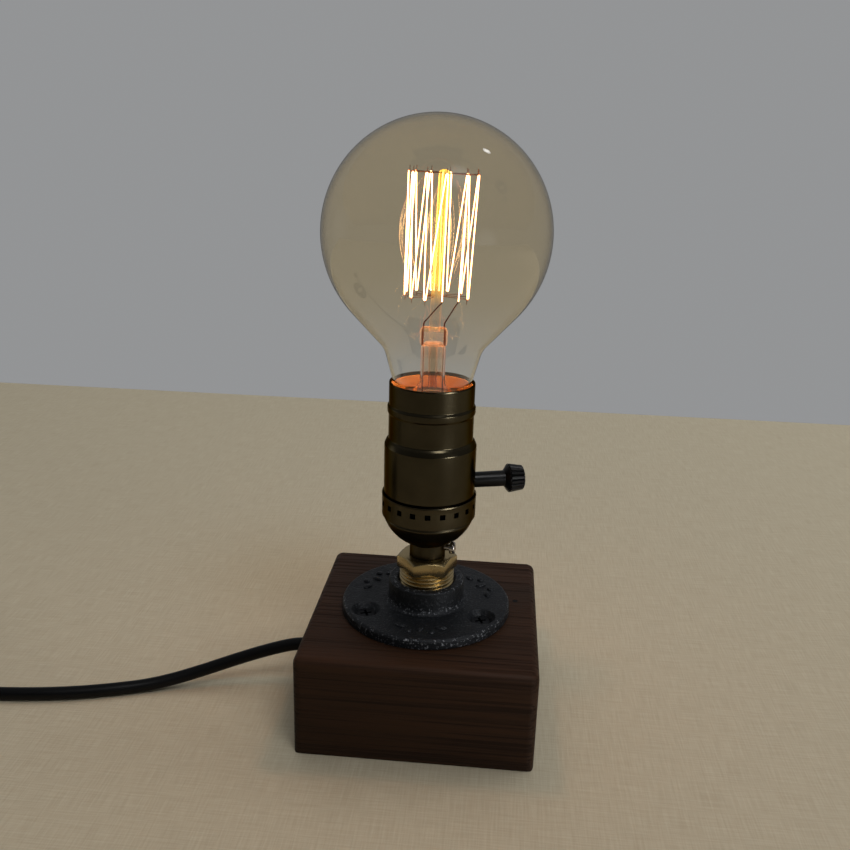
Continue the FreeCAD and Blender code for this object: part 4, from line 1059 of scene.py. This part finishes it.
@dataclass
class Holder:
    """The lampholder's metalwork: vented cap with its set screw, and drawn shell."""

    band_radius: float = 21.1
    vent_count: int = 20
    vent_size: float = 2.45
    vent_middle: float = 100.1
    shell_radius: float = 20.4
    slot_width: float = 12.6
    slot_top: float = 116.6
    set_screw_turn: float = -8.0
    set_screw_head: float = 10.55
    set_screw_end: float = 12.95
    screw_slot_turn: float = 35.0
    neck_height: float = 6.15
    band_height: float = 10.4
    cap_wall: float = 0.6
    shell_wall: float = 0.45
    shoulder_rise: float = 22.2
    bead_drop: float = 14.3

    def build(self) -> None:
        """Model cap, set screw and shell."""
        place(self._cap(), "root", Finishes.BRONZE, "antique_bronze", "socket_cap")
        place(self._set_screw(), "root", Finishes.SET_SCREW, "black_steel", "cap_set_screw")
        place(self._shell(), "root", Finishes.SHELL, "antique_bronze", "socket_shell")

    def _cap(self) -> bpy.types.Object:
        """Turn the cap as a sheet, delete the vents' faces and give it its wall."""
        foot, lip = low("socket_cap"), high("socket_cap")
        neck = foot + self.neck_height
        band = lip - self.band_height
        half = self.vent_size / 2
        cap = turned("cap", [
            (5.1, foot), (8.15, foot, 0.4), (8.15, neck, 0.5), (16.9, neck + 4.5, 20.0),
            (20.2, band - 1.3, 1.0), (19.75, band - 0.3, 0.2), (self.band_radius, band + 0.2, 0.3),
            (self.band_radius, self.vent_middle - half), (self.band_radius, self.vent_middle + half),
            (self.band_radius, lip - 0.8), (self.band_radius + 0.12, lip - 0.5),
            (self.band_radius, lip),
        ], closed=False, steps=160)
        outwards(cap)
        self._open_vents(cap)
        walled(cap, self.cap_wall * MM)
        return smooth(cap, 30)

    def _open_vents(self, cap: bpy.types.Object) -> None:
        """Delete three columns of faces in every eight, between the vents' edges."""
        doomed = []
        for face in cap.data.polygons:
            centre = face.center
            if abs(centre.z / MM - self.vent_middle) > self.vent_size / 2:
                continue
            column = math.degrees(math.atan2(centre.y, centre.x)) / (360 / self.vent_count)
            if centre.to_2d().length > 0.9 * self.band_radius * MM and column % 1.0 < 0.375:
                doomed.append(face.index)
        with editing(cap, "DESELECT"):
            bpy.ops.mesh.select_mode(type="FACE")
        for index in doomed:
            cap.data.polygons[index].select = True
        select_only(cap)
        bpy.ops.object.mode_set(mode="EDIT")
        bpy.ops.mesh.delete(type="FACE")
        bpy.ops.object.mode_set(mode="OBJECT")

    def _set_screw(self) -> bpy.types.Object:
        """Slotted screw in the cap's neck, turned about Z and then laid along its hole."""
        head, end = self.set_screw_head, self.set_screw_end
        screw = turned("set_screw", [
            (0, 5.1), (1.5, 5.1), (1.5, head), (2.8, head, 0.2), (2.8, end, 0.9), (0, end),
        ], steps=40)
        cut_away(screw, brick("slot", (0, 0, end), (8, 0.8, 2.0), self.screw_slot_turn))
        lowest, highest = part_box("cap_set_screw")
        laid_down(screw, self.set_screw_turn, (lowest.z + highest.z) / 2)
        return smooth(screw, 35)

    def _shell(self) -> bpy.types.Object:
        """Turn the drawn shell, give it its wall and cut the notch for the switch stem."""
        foot, rim = low("socket_shell"), high("socket_shell")
        lip = high("socket_cap")
        shoulder = lip + self.shoulder_rise
        bead = rim - self.bead_drop
        shell = turned("shell", [
            (20.0, foot), (20.0, lip + 0.3, 0.3), (self.shell_radius, lip + 1.0, 0.5),
            (self.shell_radius, shoulder + 0.6, 1.6), (19.5, shoulder + 2.6, 1.4),
            (18.7, shoulder + 3.6, 0.8), (18.7, bead - 0.2, 0.6), (19.3, bead + 0.8, 0.9),
            (19.3, bead + 3.3, 0.9), (18.7, bead + 4.3, 0.6), (18.7, rim - 0.9, 0.5),
            (18.55, rim, 0.35), (17.9, rim - 0.35),
        ], closed=False, steps=128)
        walled(shell, self.shell_wall * MM)
        arch = self.slot_top - self.slot_width / 2
        reach = 26
        notch = turned("notch", [(0, 0), (self.slot_width / 2, 0), (self.slot_width / 2, reach),
                                 (0, reach)], steps=64)
        notch.data.transform(Matrix.Rotation(math.pi / 2, 4, "Y"))
        notch.data.transform(Matrix.Translation((0, 0, arch * MM)))
        height = arch - foot + 2
        legs = brick("legs", (reach / 2, 0, arch - height / 2), (reach, self.slot_width, height))
        for cutter in (notch, legs):
            turned_about_z(cutter, STEM_TURN)
        cut_away(shell, notch, legs)
        return smooth(shell, 30)


@dataclass
class Knob:
    """The fluted switch knob, turned about Z and then laid along the switch stem."""

    inner_end: float = 18.2
    stem_end: float = 34.6
    grip: float = 36.4
    tip: float = 43.4
    grip_radius: float = 6.6
    tip_radius: float = 5.6
    flutes: int = 18
    flute_depth: float = 0.75

    def build(self) -> None:
        """Model stem and grip; every second edge of the grip is drawn in to make the flutes."""
        stem = turned("knob_stem", [
            (0, self.inner_end), (3.5, self.inner_end, 0.3), (3.65, self.stem_end),
            (self.grip_radius - 0.5, self.grip - 0.05, 0.6), (self.grip_radius - 0.9, self.grip + 0.6),
            (0, self.grip + 0.6),
        ], steps=64)
        grip = turned("knob_grip", [
            (0, self.grip), (self.grip_radius - 0.4, self.grip), (self.grip_radius, self.grip + 0.5),
            (self.tip_radius, self.tip - 0.3), (self.tip_radius - 0.5, self.tip),
            (self.tip_radius - 1.6, self.tip + 0.25), (0, self.tip + 0.65),
        ], steps=self.flutes * 4)
        self._flute(grip)
        bore = turned("knob_bore", [(0, self.inner_end - 1), (1.95, self.inner_end - 1),
                                    (1.95, self.inner_end + 12), (0, self.inner_end + 12)], steps=32)
        cut_away(stem, bore)
        knob = smooth(joined("switch_knob", [stem, grip]), 28)
        laid_down(knob, STEM_TURN, STEM_HEIGHT * MM)
        place(knob, "knob", Finishes.KNOB, "knob_black", "knob")

    def _flute(self, grip: bpy.types.Object) -> None:
        """Draw one vertex column in four inwards."""
        columns = self.flutes * 4
        for vertex in grip.data.vertices:
            radius = vertex.co.to_2d().length
            if radius < (self.tip_radius - 0.9) * MM:
                continue
            column = round(math.atan2(vertex.co.y, vertex.co.x) / TURN * columns) % 4
            if column == 0:
                scale = 1 - self.flute_depth * MM / radius
                vertex.co.x *= scale
                vertex.co.y *= scale


@dataclass
class Bulb:
    """The globe bulb's glass, base and glass stem."""

    globe_radius: float = 47.7
    globe_middle: float = 217.65
    cone: float = 42.6
    wall: float = 0.8
    throat: float = 14.7
    base_radius: float = 13.05
    pitch: float = 3.629
    thread_depth: float = 0.8
    base_wall: float = 0.25
    stem_rise: float = 15.5
    pinch_size: tuple[float, ...] = (11.7, 4.8, 8.2)

    def build(self) -> None:
        """Model glass, screw base and stem."""
        rim = high("socket_shell")
        place(self._glass(rim), "bulb", Finishes.GLOBE, "amber_glass", "bulb_glass")
        place(self._base(rim), "bulb", Finishes.BASE_METAL, "base_metal", "bulb_base_shell")
        place(self._stem(rim), "bulb", Finishes.STEM, "clear_glass", "stem_glass")

    def _glass(self, rim: float) -> bpy.types.Object:
        """Blow the globe: one sheet turned and walled."""
        cone = math.radians(self.cone)
        top = self.globe_middle + self.globe_radius
        corner = self.globe_radius * (math.cos(cone) + (1 + math.sin(cone)) * math.tan(cone))
        throat = rim + self.throat
        glass = turned("globe", [
            (12.5, rim - 12.0), (13.0, rim - 5.6, 3.0), (17.1, rim, 6.0),
            (corner - (top - throat) * math.tan(cone), throat, 12.0),
            (corner, top, self.globe_radius), (0, top),
        ], closed=False, steps=128, degrees=3.0)
        walled(glass, self.wall * MM)
        return smooth(glass, 60)

    def _base(self, rim: float) -> bpy.types.Object:
        """The base's round thread, one wave screwed up between the base's two ends."""
        foot, top = low("bulb_base_shell"), high("bulb_base_shell")
        upper = turned("base_ends", [
            (self.base_radius - 0.3, top - 2.9), (self.base_radius, top - 2.4, 0.3),
            (self.base_radius + 0.5, top - 1.9, 0.3), (self.base_radius + 0.5, top),
        ], closed=False, steps=72)
        lower = turned("base_foot", [
            (10.6, foot), (self.base_radius - 0.4, foot + 1.4, 0.6),
            (self.base_radius - 0.4, foot + 2.4),
        ], closed=False, steps=72)
        steps = 12
        wave = [Vector((self.base_radius - self.thread_depth / 2 * (1 - math.cos(TURN * i / steps)),
                        0, foot + 1.6 - self.pitch + self.pitch * i / steps)) * MM
                for i in range(steps + 1)]
        turns = math.ceil((top - foot) / self.pitch) + 1
        thread = screwed("base_thread", wave, self.pitch, (foot + 2.0, top - 2.6), turns,
                         capped=False)
        base = joined("bulb_base", [walled(part, self.base_wall * MM)
                                     for part in (upper, thread, lower)])
        return smooth(base, 40)

    def _stem(self, rim: float) -> bpy.types.Object:
        """Flare, stem tube, pinch and exhaust tube."""
        pinch = rim + self.stem_rise
        tube = turned("stem_tube", [
            (11.4, rim - 8.5), (8.9, rim - 5.6, 4.0), (5.9, rim - 1.0, 8.0), (5.3, rim + 4, 8.0),
            (5.3, pinch - 0.4, 1.5), (3.6, pinch + 2.2, 1.5), (0, pinch + 2.6),
        ], closed=False, steps=64)
        walled(tube, 0.8 * MM)
        exhaust = turned("exhaust_tube", [
            (1.5, rim - 3.5), (2.0, rim - 3.5), (2.0, pinch + 1.0), (1.5, pinch + 1.0),
        ], steps=40)
        press = brick("pinch", (0, 0, pinch + self.pinch_size[2] / 2), self.pinch_size)
        bevelled(press, 1.9 * MM, 5)
        smooth(press, 60)
        return smooth(joined("glass_stem", [tube, exhaust, press]), 50)


@dataclass
class Cage:
    """Glass rod, support wires, leads and the one filament that zig-zags over the hooks."""

    tilt: float = 2.0
    pinch_bottom: float = 171.0
    pinch_top: float = 179.2
    rod_radius: float = 2.35
    rod_height: float = 64.3
    rod_foot: float = 1.5
    top_rise: float = 63.0
    bottom_rise: float = 13.2
    top_radius: float = 14.1
    bottom_radius: float = 13.3
    upper_first: float = 8.0
    upper_step: float = 32.3
    upper_count: int = 11
    lower_first: float = 13.5
    lower_step: float = 29.86
    wire_radius: float = 0.15
    filament_radius: float = 0.36
    hook_offset: float = 0.41
    hook_tail: float = 2.2
    hook_turn: float = 0.42
    lead_radius: float = 0.3
    lead_spacing: float = 4.4
    lead_foot_drop: float = 35.7
    uppers: list[float] = field(default_factory=list)
    lowers: list[float] = field(default_factory=list)

    def build(self) -> None:
        """Model the cage and lean it about the pinch."""
        self.uppers = [self.upper_first - self.upper_step * i for i in range(self.upper_count)]
        self.lowers = [self.lower_first - self.lower_step * i for i in range(self.upper_count + 1)]
        high_z, low_z = self.pinch_top + self.top_rise, self.pinch_top + self.bottom_rise
        rod = turned("rod", [
            (0, self.pinch_top - self.rod_foot), (self.rod_radius, self.pinch_top - self.rod_foot),
            (self.rod_radius, self.pinch_top + self.rod_height, 1.8),
            (0, self.pinch_top + self.rod_height),
        ], steps=48)
        upper = wires("upper_hooks", [self._hook(a, self.top_radius, high_z, self.hook_tail)
                                      for a in self.uppers], self.wire_radius * MM)
        lower = wires("lower_hooks", [self._hook(a, self.bottom_radius, low_z, -self.hook_tail)
                                      for a in self.lowers[1:-1]], self.wire_radius * MM)
        strand = wires("zigzag_filament", [self._zigzag(high_z, low_z)],
                       self.filament_radius * MM)
        for piece in (smooth(rod, 50), upper, lower, strand):
            self._lean(piece)
        place(rod, "bulb", Finishes.ROD, "clear_glass", "glass_rod")
        place(upper, "bulb", Finishes.SUPPORT, "support_wire", "upper_supports")
        place(lower, "bulb", Finishes.SUPPORT, "support_wire", "lower_supports")
        place(strand, "bulb", Finishes.FILAMENT, "filament_wire", "filament")
        leads = wires("leads", self._leads(low_z), self.lead_radius * MM, order=3)
        place(leads, "bulb", Finishes.LEAD, "steel", "lead_wires")

    def _lean(self, piece: bpy.types.Object) -> None:
        """Lean a mesh about the pinch's foot, its top towards +X."""
        pivot = Matrix.Translation((0, 0, self.pinch_bottom * MM))
        piece.data.transform(pivot @ Matrix.Rotation(math.radians(self.tilt), 4, "Y")
                             @ pivot.inverted())

    def _hook(self, angle: float, radius: float, z: float, tail: float) -> list[Vector]:
        """One support wire: out of the rod and bent into its tail."""
        bend = 0.3 if tail > 0 else -0.3
        return [from_front(angle, self.rod_radius - 0.3, z), from_front(angle, radius - 0.4, z),
                from_front(angle, radius - 0.1, z + bend * 0.4), from_front(angle, radius, z + bend),
                from_front(angle, radius, z + tail)]

    def _zigzag(self, high_z: float, low_z: float) -> list[Vector]:
        """The filament's way up and down over every hook, with small turns at the hooks."""
        route: list[Vector] = []
        top_radius = self.top_radius + self.hook_offset
        bottom_radius = self.bottom_radius + self.hook_offset
        for i, top in enumerate(self.uppers):
            here = from_front(self.lowers[i], bottom_radius, low_z)
            peak = from_front(top, top_radius, high_z)
            after = from_front(self.lowers[i + 1], bottom_radius, low_z)
            route += self._loop(here, route[-1] if route else None, peak, -1.0)
            route += self._loop(peak, here, after, 1.0)
        route.append(from_front(self.lowers[-1], bottom_radius, low_z))
        return route

    def _loop(self, corner: Vector, before: Vector | None, after: Vector,
              way: float) -> list[Vector]:
        """The points that take the wire round one hook.

        Args:
            corner: where the two strands would meet.
            before: a point on the strand that comes in; None at the wire's end.
            after: a point on the strand that goes out.
            way: 1 over an upper hook, -1 under a lower one.

        Returns:
            The points, in order.
        """
        if before is None:
            return [corner]
        reach = self.hook_turn * MM
        side_in = (before - corner).normalized()
        side_out = (after - corner).normalized()
        across = side_out - side_in
        across = (across - Vector((0, 0, across.z))).normalized()
        top = Vector((0, 0, way))
        points = []
        for angle in (-80, -45, 0, 45, 80):
            turn = math.radians(angle)
            points.append(corner + (across * math.sin(turn) + top * (math.cos(turn) - 1)) * reach)
        return points

    def _leads(self, low_z: float) -> list[list[Vector]]:
        """Two leads: up through the pinch, then out to the filament's ends."""
        foot = self.pinch_top - self.lead_foot_drop
        lean = math.sin(math.radians(self.tilt)) * (low_z - self.pinch_bottom) * MM
        routes = []
        for side, angle in ((-1, self.lowers[0]), (1, self.lowers[-1])):
            end = from_front(angle, self.bottom_radius + self.hook_offset, low_z - 0.3)
            end.x += lean
            bend = Vector((side * self.lead_spacing, 0, self.pinch_top + 1.4)) * MM
            routes.append([
                Vector((side * self.lead_spacing, 0, foot)) * MM,
                Vector((side * self.lead_spacing, 0, self.pinch_top - 1.5)) * MM, bend,
                bend.lerp(end, 0.08), bend.lerp(end, 0.9), end - Vector((0, 0, 0.6 * MM)),
                end + Vector((0, 0, 1.0 * MM))])
        return routes


@dataclass
class Flex:
    """The flex: free stretch, put-away coil and tail, as one smooth line, and its plug."""

    radius: float = 3.0
    block_side: float = -51.8
    exit_height: float = 21.8
    coil_x: float = -270.0
    coil_y: float = 6.0
    coil_radius: float = 40.0
    pitch: float = 6.7
    layers: int = 4
    turns: int = 7
    per_turn: int = 16
    length: float = 1.815

    def build(self) -> None:
        """Lay the flex and dress the plug."""
        route = [Vector(p) * MM for p in self._free() + self._coil() + self._tail()]
        flex = round_curve("flex", [route], self.radius * MM, order=3, sides=5, resolution=8)
        place(flex, "root", Finishes.FLEX, "flex_black", "cord", "cord_coil", "cord_tail")
        nodes = frame["nodes"]
        Finishes.PLUG.on(nodes["plug_body"])
        Finishes.STEEL.on(nodes["plug_pins"])

    def _free(self) -> list[tuple[float, float, float]]:
        """The stretch from the block to the coil."""
        floor = self.radius
        return [
            (self.block_side, 0, self.exit_height), (self.block_side - 8.7, 0, self.exit_height),
            (-73, -1, 18.4), (-88, -3.8, 13.9), (-104, -8, 8.8), (-118.5, -12.4, 5.0),
            (-131, -16.6, floor), (-147, -22.4, floor), (-165, -27.4, floor),
            (-184, -30.6, floor), (-205, -32.6, floor), (-226, -33.6, floor),
            (-246, self.coil_y - self.coil_radius, floor),
            (self.coil_x + 6, self.coil_y - self.coil_radius, floor),
        ]

    def _coil(self) -> list[tuple[float, float, float]]:
        """The wound turns, in and out between two radii, a layer higher at each reversal."""
        points = []
        per_layer = self.turns / self.layers
        for i in range(self.turns * self.per_turn + 1):
            turn = i / self.per_turn
            wave = abs(turn / per_layer % 2 - 1)
            radius = self.coil_radius - self.pitch * per_layer * (1 - wave)
            nearest = min(max(round(turn / per_layer), 1), self.layers - 1)
            climb = min(max((turn - nearest * per_layer) * 2 + 0.5, 0.0), 1.0)
            angle = -math.pi / 2 - TURN * turn
            points.append((self.coil_x + radius * math.cos(angle),
                           self.coil_y + radius * math.sin(angle),
                           self.radius + self.pitch * (nearest - 1 + climb)))
        return points

    def _tail(self) -> list[tuple[float, float, float]]:
        """The last stretch, down from the coil to the plug."""
        start_x, start_y = self.coil_x - 6, self.coil_y - self.coil_radius
        top = self.radius + (self.layers - 1) * self.pitch
        return [(start_x, start_y, top), (start_x - 9, start_y, top), (-300, -32.8, 19.6),
                (-316, -29.6, 12.6), (-331, -27.4, 8.0), (-344, -27, 6.85), (-354, -27, 6.85)]


@dataclass
class CarriedOver:
    """The CAD pieces that stay as they are and only get their finish."""

    finishes: dict[str, Finishes] = field(default_factory=lambda: {
        "threaded_nipple": Finishes.STEEL,
        "insulating_liner": Finishes.FIBRE,
        "switch_base": Finishes.PHENOLIC,
        "socket_body": Finishes.PHENOLIC,
        "screw_shell": Finishes.BRIGHT_BRASS,
        "centre_contact": Finishes.BRIGHT_BRASS,
        "shell_rivets": Finishes.BRIGHT_BRASS,
        "terminal_screws": Finishes.BRIGHT_BRASS,
        "switch_blade": Finishes.BRIGHT_BRASS,
        "switch_spindle": Finishes.STEEL,
        "switch_cam": Finishes.NYLON,
        "inner_flex": Finishes.FLEX,
        "flex_tie": Finishes.NYLON,
        "switch_cores": Finishes.CORES,
        "bulb_base_insulator": Finishes.BLACK_GLASS,
        "bulb_base_contact": Finishes.SOLDER,
    })

    def build(self) -> None:
        """Dress each node."""
        for node, finish in self.finishes.items():
            finish.on(frame["nodes"][node])


@dataclass(frozen=True)
class Window:
    """A soft bright patch of the room, and how much of it clear glass shows."""

    way: tuple[float, float, float]
    inner: float
    outer: float
    level: float
    in_glass: float


@dataclass
class Studio:
    """Plain table top, soft lights, and the camera at the photograph's viewing angle."""

    focal_pixels: float = 893.12
    frame_pixels: float = 850.0
    sensor: float = 36.0
    floor_edge: float = 0.4957
    floor_width: float = 5.0
    floor_depth: float = 2.5
    daylight: Colour = (0.96, 0.98, 1.0)
    filament_energy: float = 0.34
    filament_colour: Colour = (1.0, 0.42, 0.14)
    wall: Colour = (0.292, 0.297, 0.303)
    windows: tuple[Window, ...] = (
        Window((0.78, -0.62, -0.04), 1.0, 14.0, 24.0, 0.02),
        Window((-0.97, 0.22, 0.0), 2.0, 16.0, 0.8, 0.15),
        Window((0.32, -0.42, 0.85), 3.0, 14.0, 9.0, 0.15),
        Window((0.45, 0.30, 0.80), 0.5, 3.0, 9.0, 1.0),
    )
    eye: Vector = field(default_factory=lambda: Vector((27.97, -372.84, 253.92)) * MM)
    right: Vector = field(default_factory=lambda: Vector((0.99554, 0.09013, 0.02612)))
    down: Vector = field(default_factory=lambda: Vector((0.05207, -0.29902, -0.95281)))
    ahead: Vector = field(default_factory=lambda: Vector((-0.0781, 0.9500, -0.3024)))

    def build(self) -> None:
        """Set floor, lights, surroundings and camera."""
        self._floor()
        self._lights()
        self._surroundings()
        self._camera()

    def _floor(self) -> None:
        """A pale table top whose far edge lies behind the lamp."""
        select_only()
        bpy.ops.mesh.primitive_plane_add(size=1)
        floor = named("table_top")
        floor.data.transform(Matrix.Translation((0, self.floor_edge - self.floor_depth / 2, 0))
                             @ Matrix.Diagonal((self.floor_width, self.floor_depth, 1, 1)))
        PaleCloth().dress(floor)

    def _light(self, name: str, energy: float, size: float, where: Vector) -> None:
        """One soft light that faces the lamp; what shines shows the room instead of it.

        Args:
            name: its name.
            energy: its power in watts.
            size: its width and height in metres.
            where: its place.
        """
        lamp = bpy.data.lights.new(name, "AREA")
        lamp.shape = "RECTANGLE"
        lamp.energy = energy
        lamp.size = lamp.size_y = size
        lamp.color = self.daylight
        obj = bpy.data.objects.new(name, lamp)
        bpy.context.collection.objects.link(obj)
        obj.location = where
        obj.rotation_mode = "QUATERNION"
        obj.rotation_quaternion = (Vector((0, 0, 0.1)) - where).to_track_quat("-Z", "Y")
        obj.visible_glossy = obj.visible_transmission = False

    def _lights(self) -> None:
        """Broad light from above and from the right, and the bulb's own light."""
        self._light("overhead", 10.2, 1.6, Vector((0.1, 0.6, 1.6)))
        self._light("right_window", 4.0, 0.6, Vector((1.2, 0.35, 0.75)))
        glow = bpy.data.lights.new("filament_light", "POINT")
        glow.energy = self.filament_energy
        glow.color = self.filament_colour
        glow.shadow_soft_size = 0.014
        obj = bpy.data.objects.new("filament_light", glow)
        obj.location = (0.001, 0, 0.216)
        bpy.context.collection.objects.link(obj)
        obj.visible_camera = obj.visible_glossy = obj.visible_transmission = False

    def _surroundings(self) -> None:
        """A room with a pale wall behind the lamp, dark on the near side, with soft windows."""
        shader = Shader(bpy.data.worlds.new("room"))
        way = shader.node("ShaderNodeTexCoord", output="Generated")
        behind = shader.node("ShaderNodeSeparateXYZ", inputs={0: way}, output="Y")
        above = shader.node("ShaderNodeSeparateXYZ", inputs={0: way}, output="Z")
        lit = shader.ramp((behind * 0.30 + above * 0.35 + 0.45).clamped(),
                          (0.05, (0.028, 0.027, 0.026)), (0.50, (0.105, 0.105, 0.107)),
                          (0.95, (0.29, 0.293, 0.30)))
        sharp = shader.node("ShaderNodeLightPath", output="Is Singular Ray")
        lit = shader.mix(sharp * 0.5, lit, (0.02, 0.02, 0.02))
        for window in self.windows:
            patch = shader.towards(way, Vector(window.way), window.inner, window.outer)
            shown = patch * (1.0 - sharp * (1.0 - window.in_glass))
            lit = shader.mix(shown, lit, (window.level,) * 3)
        camera = shader.node("ShaderNodeLightPath", output="Is Camera Ray")
        through = shader.node("ShaderNodeLightPath", output="Is Transmission Ray")
        colour = shader.mix((camera + through).clamped(), lit, self.wall)
        world = shader.surface(shader.node("ShaderNodeBackground", inputs={"Color": colour}))
        bpy.context.scene.world = world
        bpy.context.scene.view_settings.view_transform = "Standard"

    def _camera(self) -> None:
        """The camera of the photograph."""
        data = bpy.data.cameras.new("camera")
        data.sensor_width = self.sensor
        data.lens = self.focal_pixels / self.frame_pixels * self.sensor
        data.clip_start = 0.01
        camera = bpy.data.objects.new("camera", data)
        columns = Matrix((self.right, -self.down, -self.ahead)).transposed().to_4x4()
        camera.matrix_world = Matrix.Translation(self.eye) @ columns
        bpy.context.collection.objects.link(camera)
        bpy.context.scene.camera = camera


def main() -> None:
    """Build the lamp's pieces in order, then the room."""
    logging.basicConfig(level=logging.INFO, format="%(message)s")
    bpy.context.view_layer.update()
    parts = [Block(), Flange(), Bushing(), Holder(), Knob(), Bulb(), Cage(), Flex(), CarriedOver()]
    for part in parts:
        log.info("building %s", type(part).__name__)
        part.build()
    Studio().build()


if __name__ == "__main__":
    main()
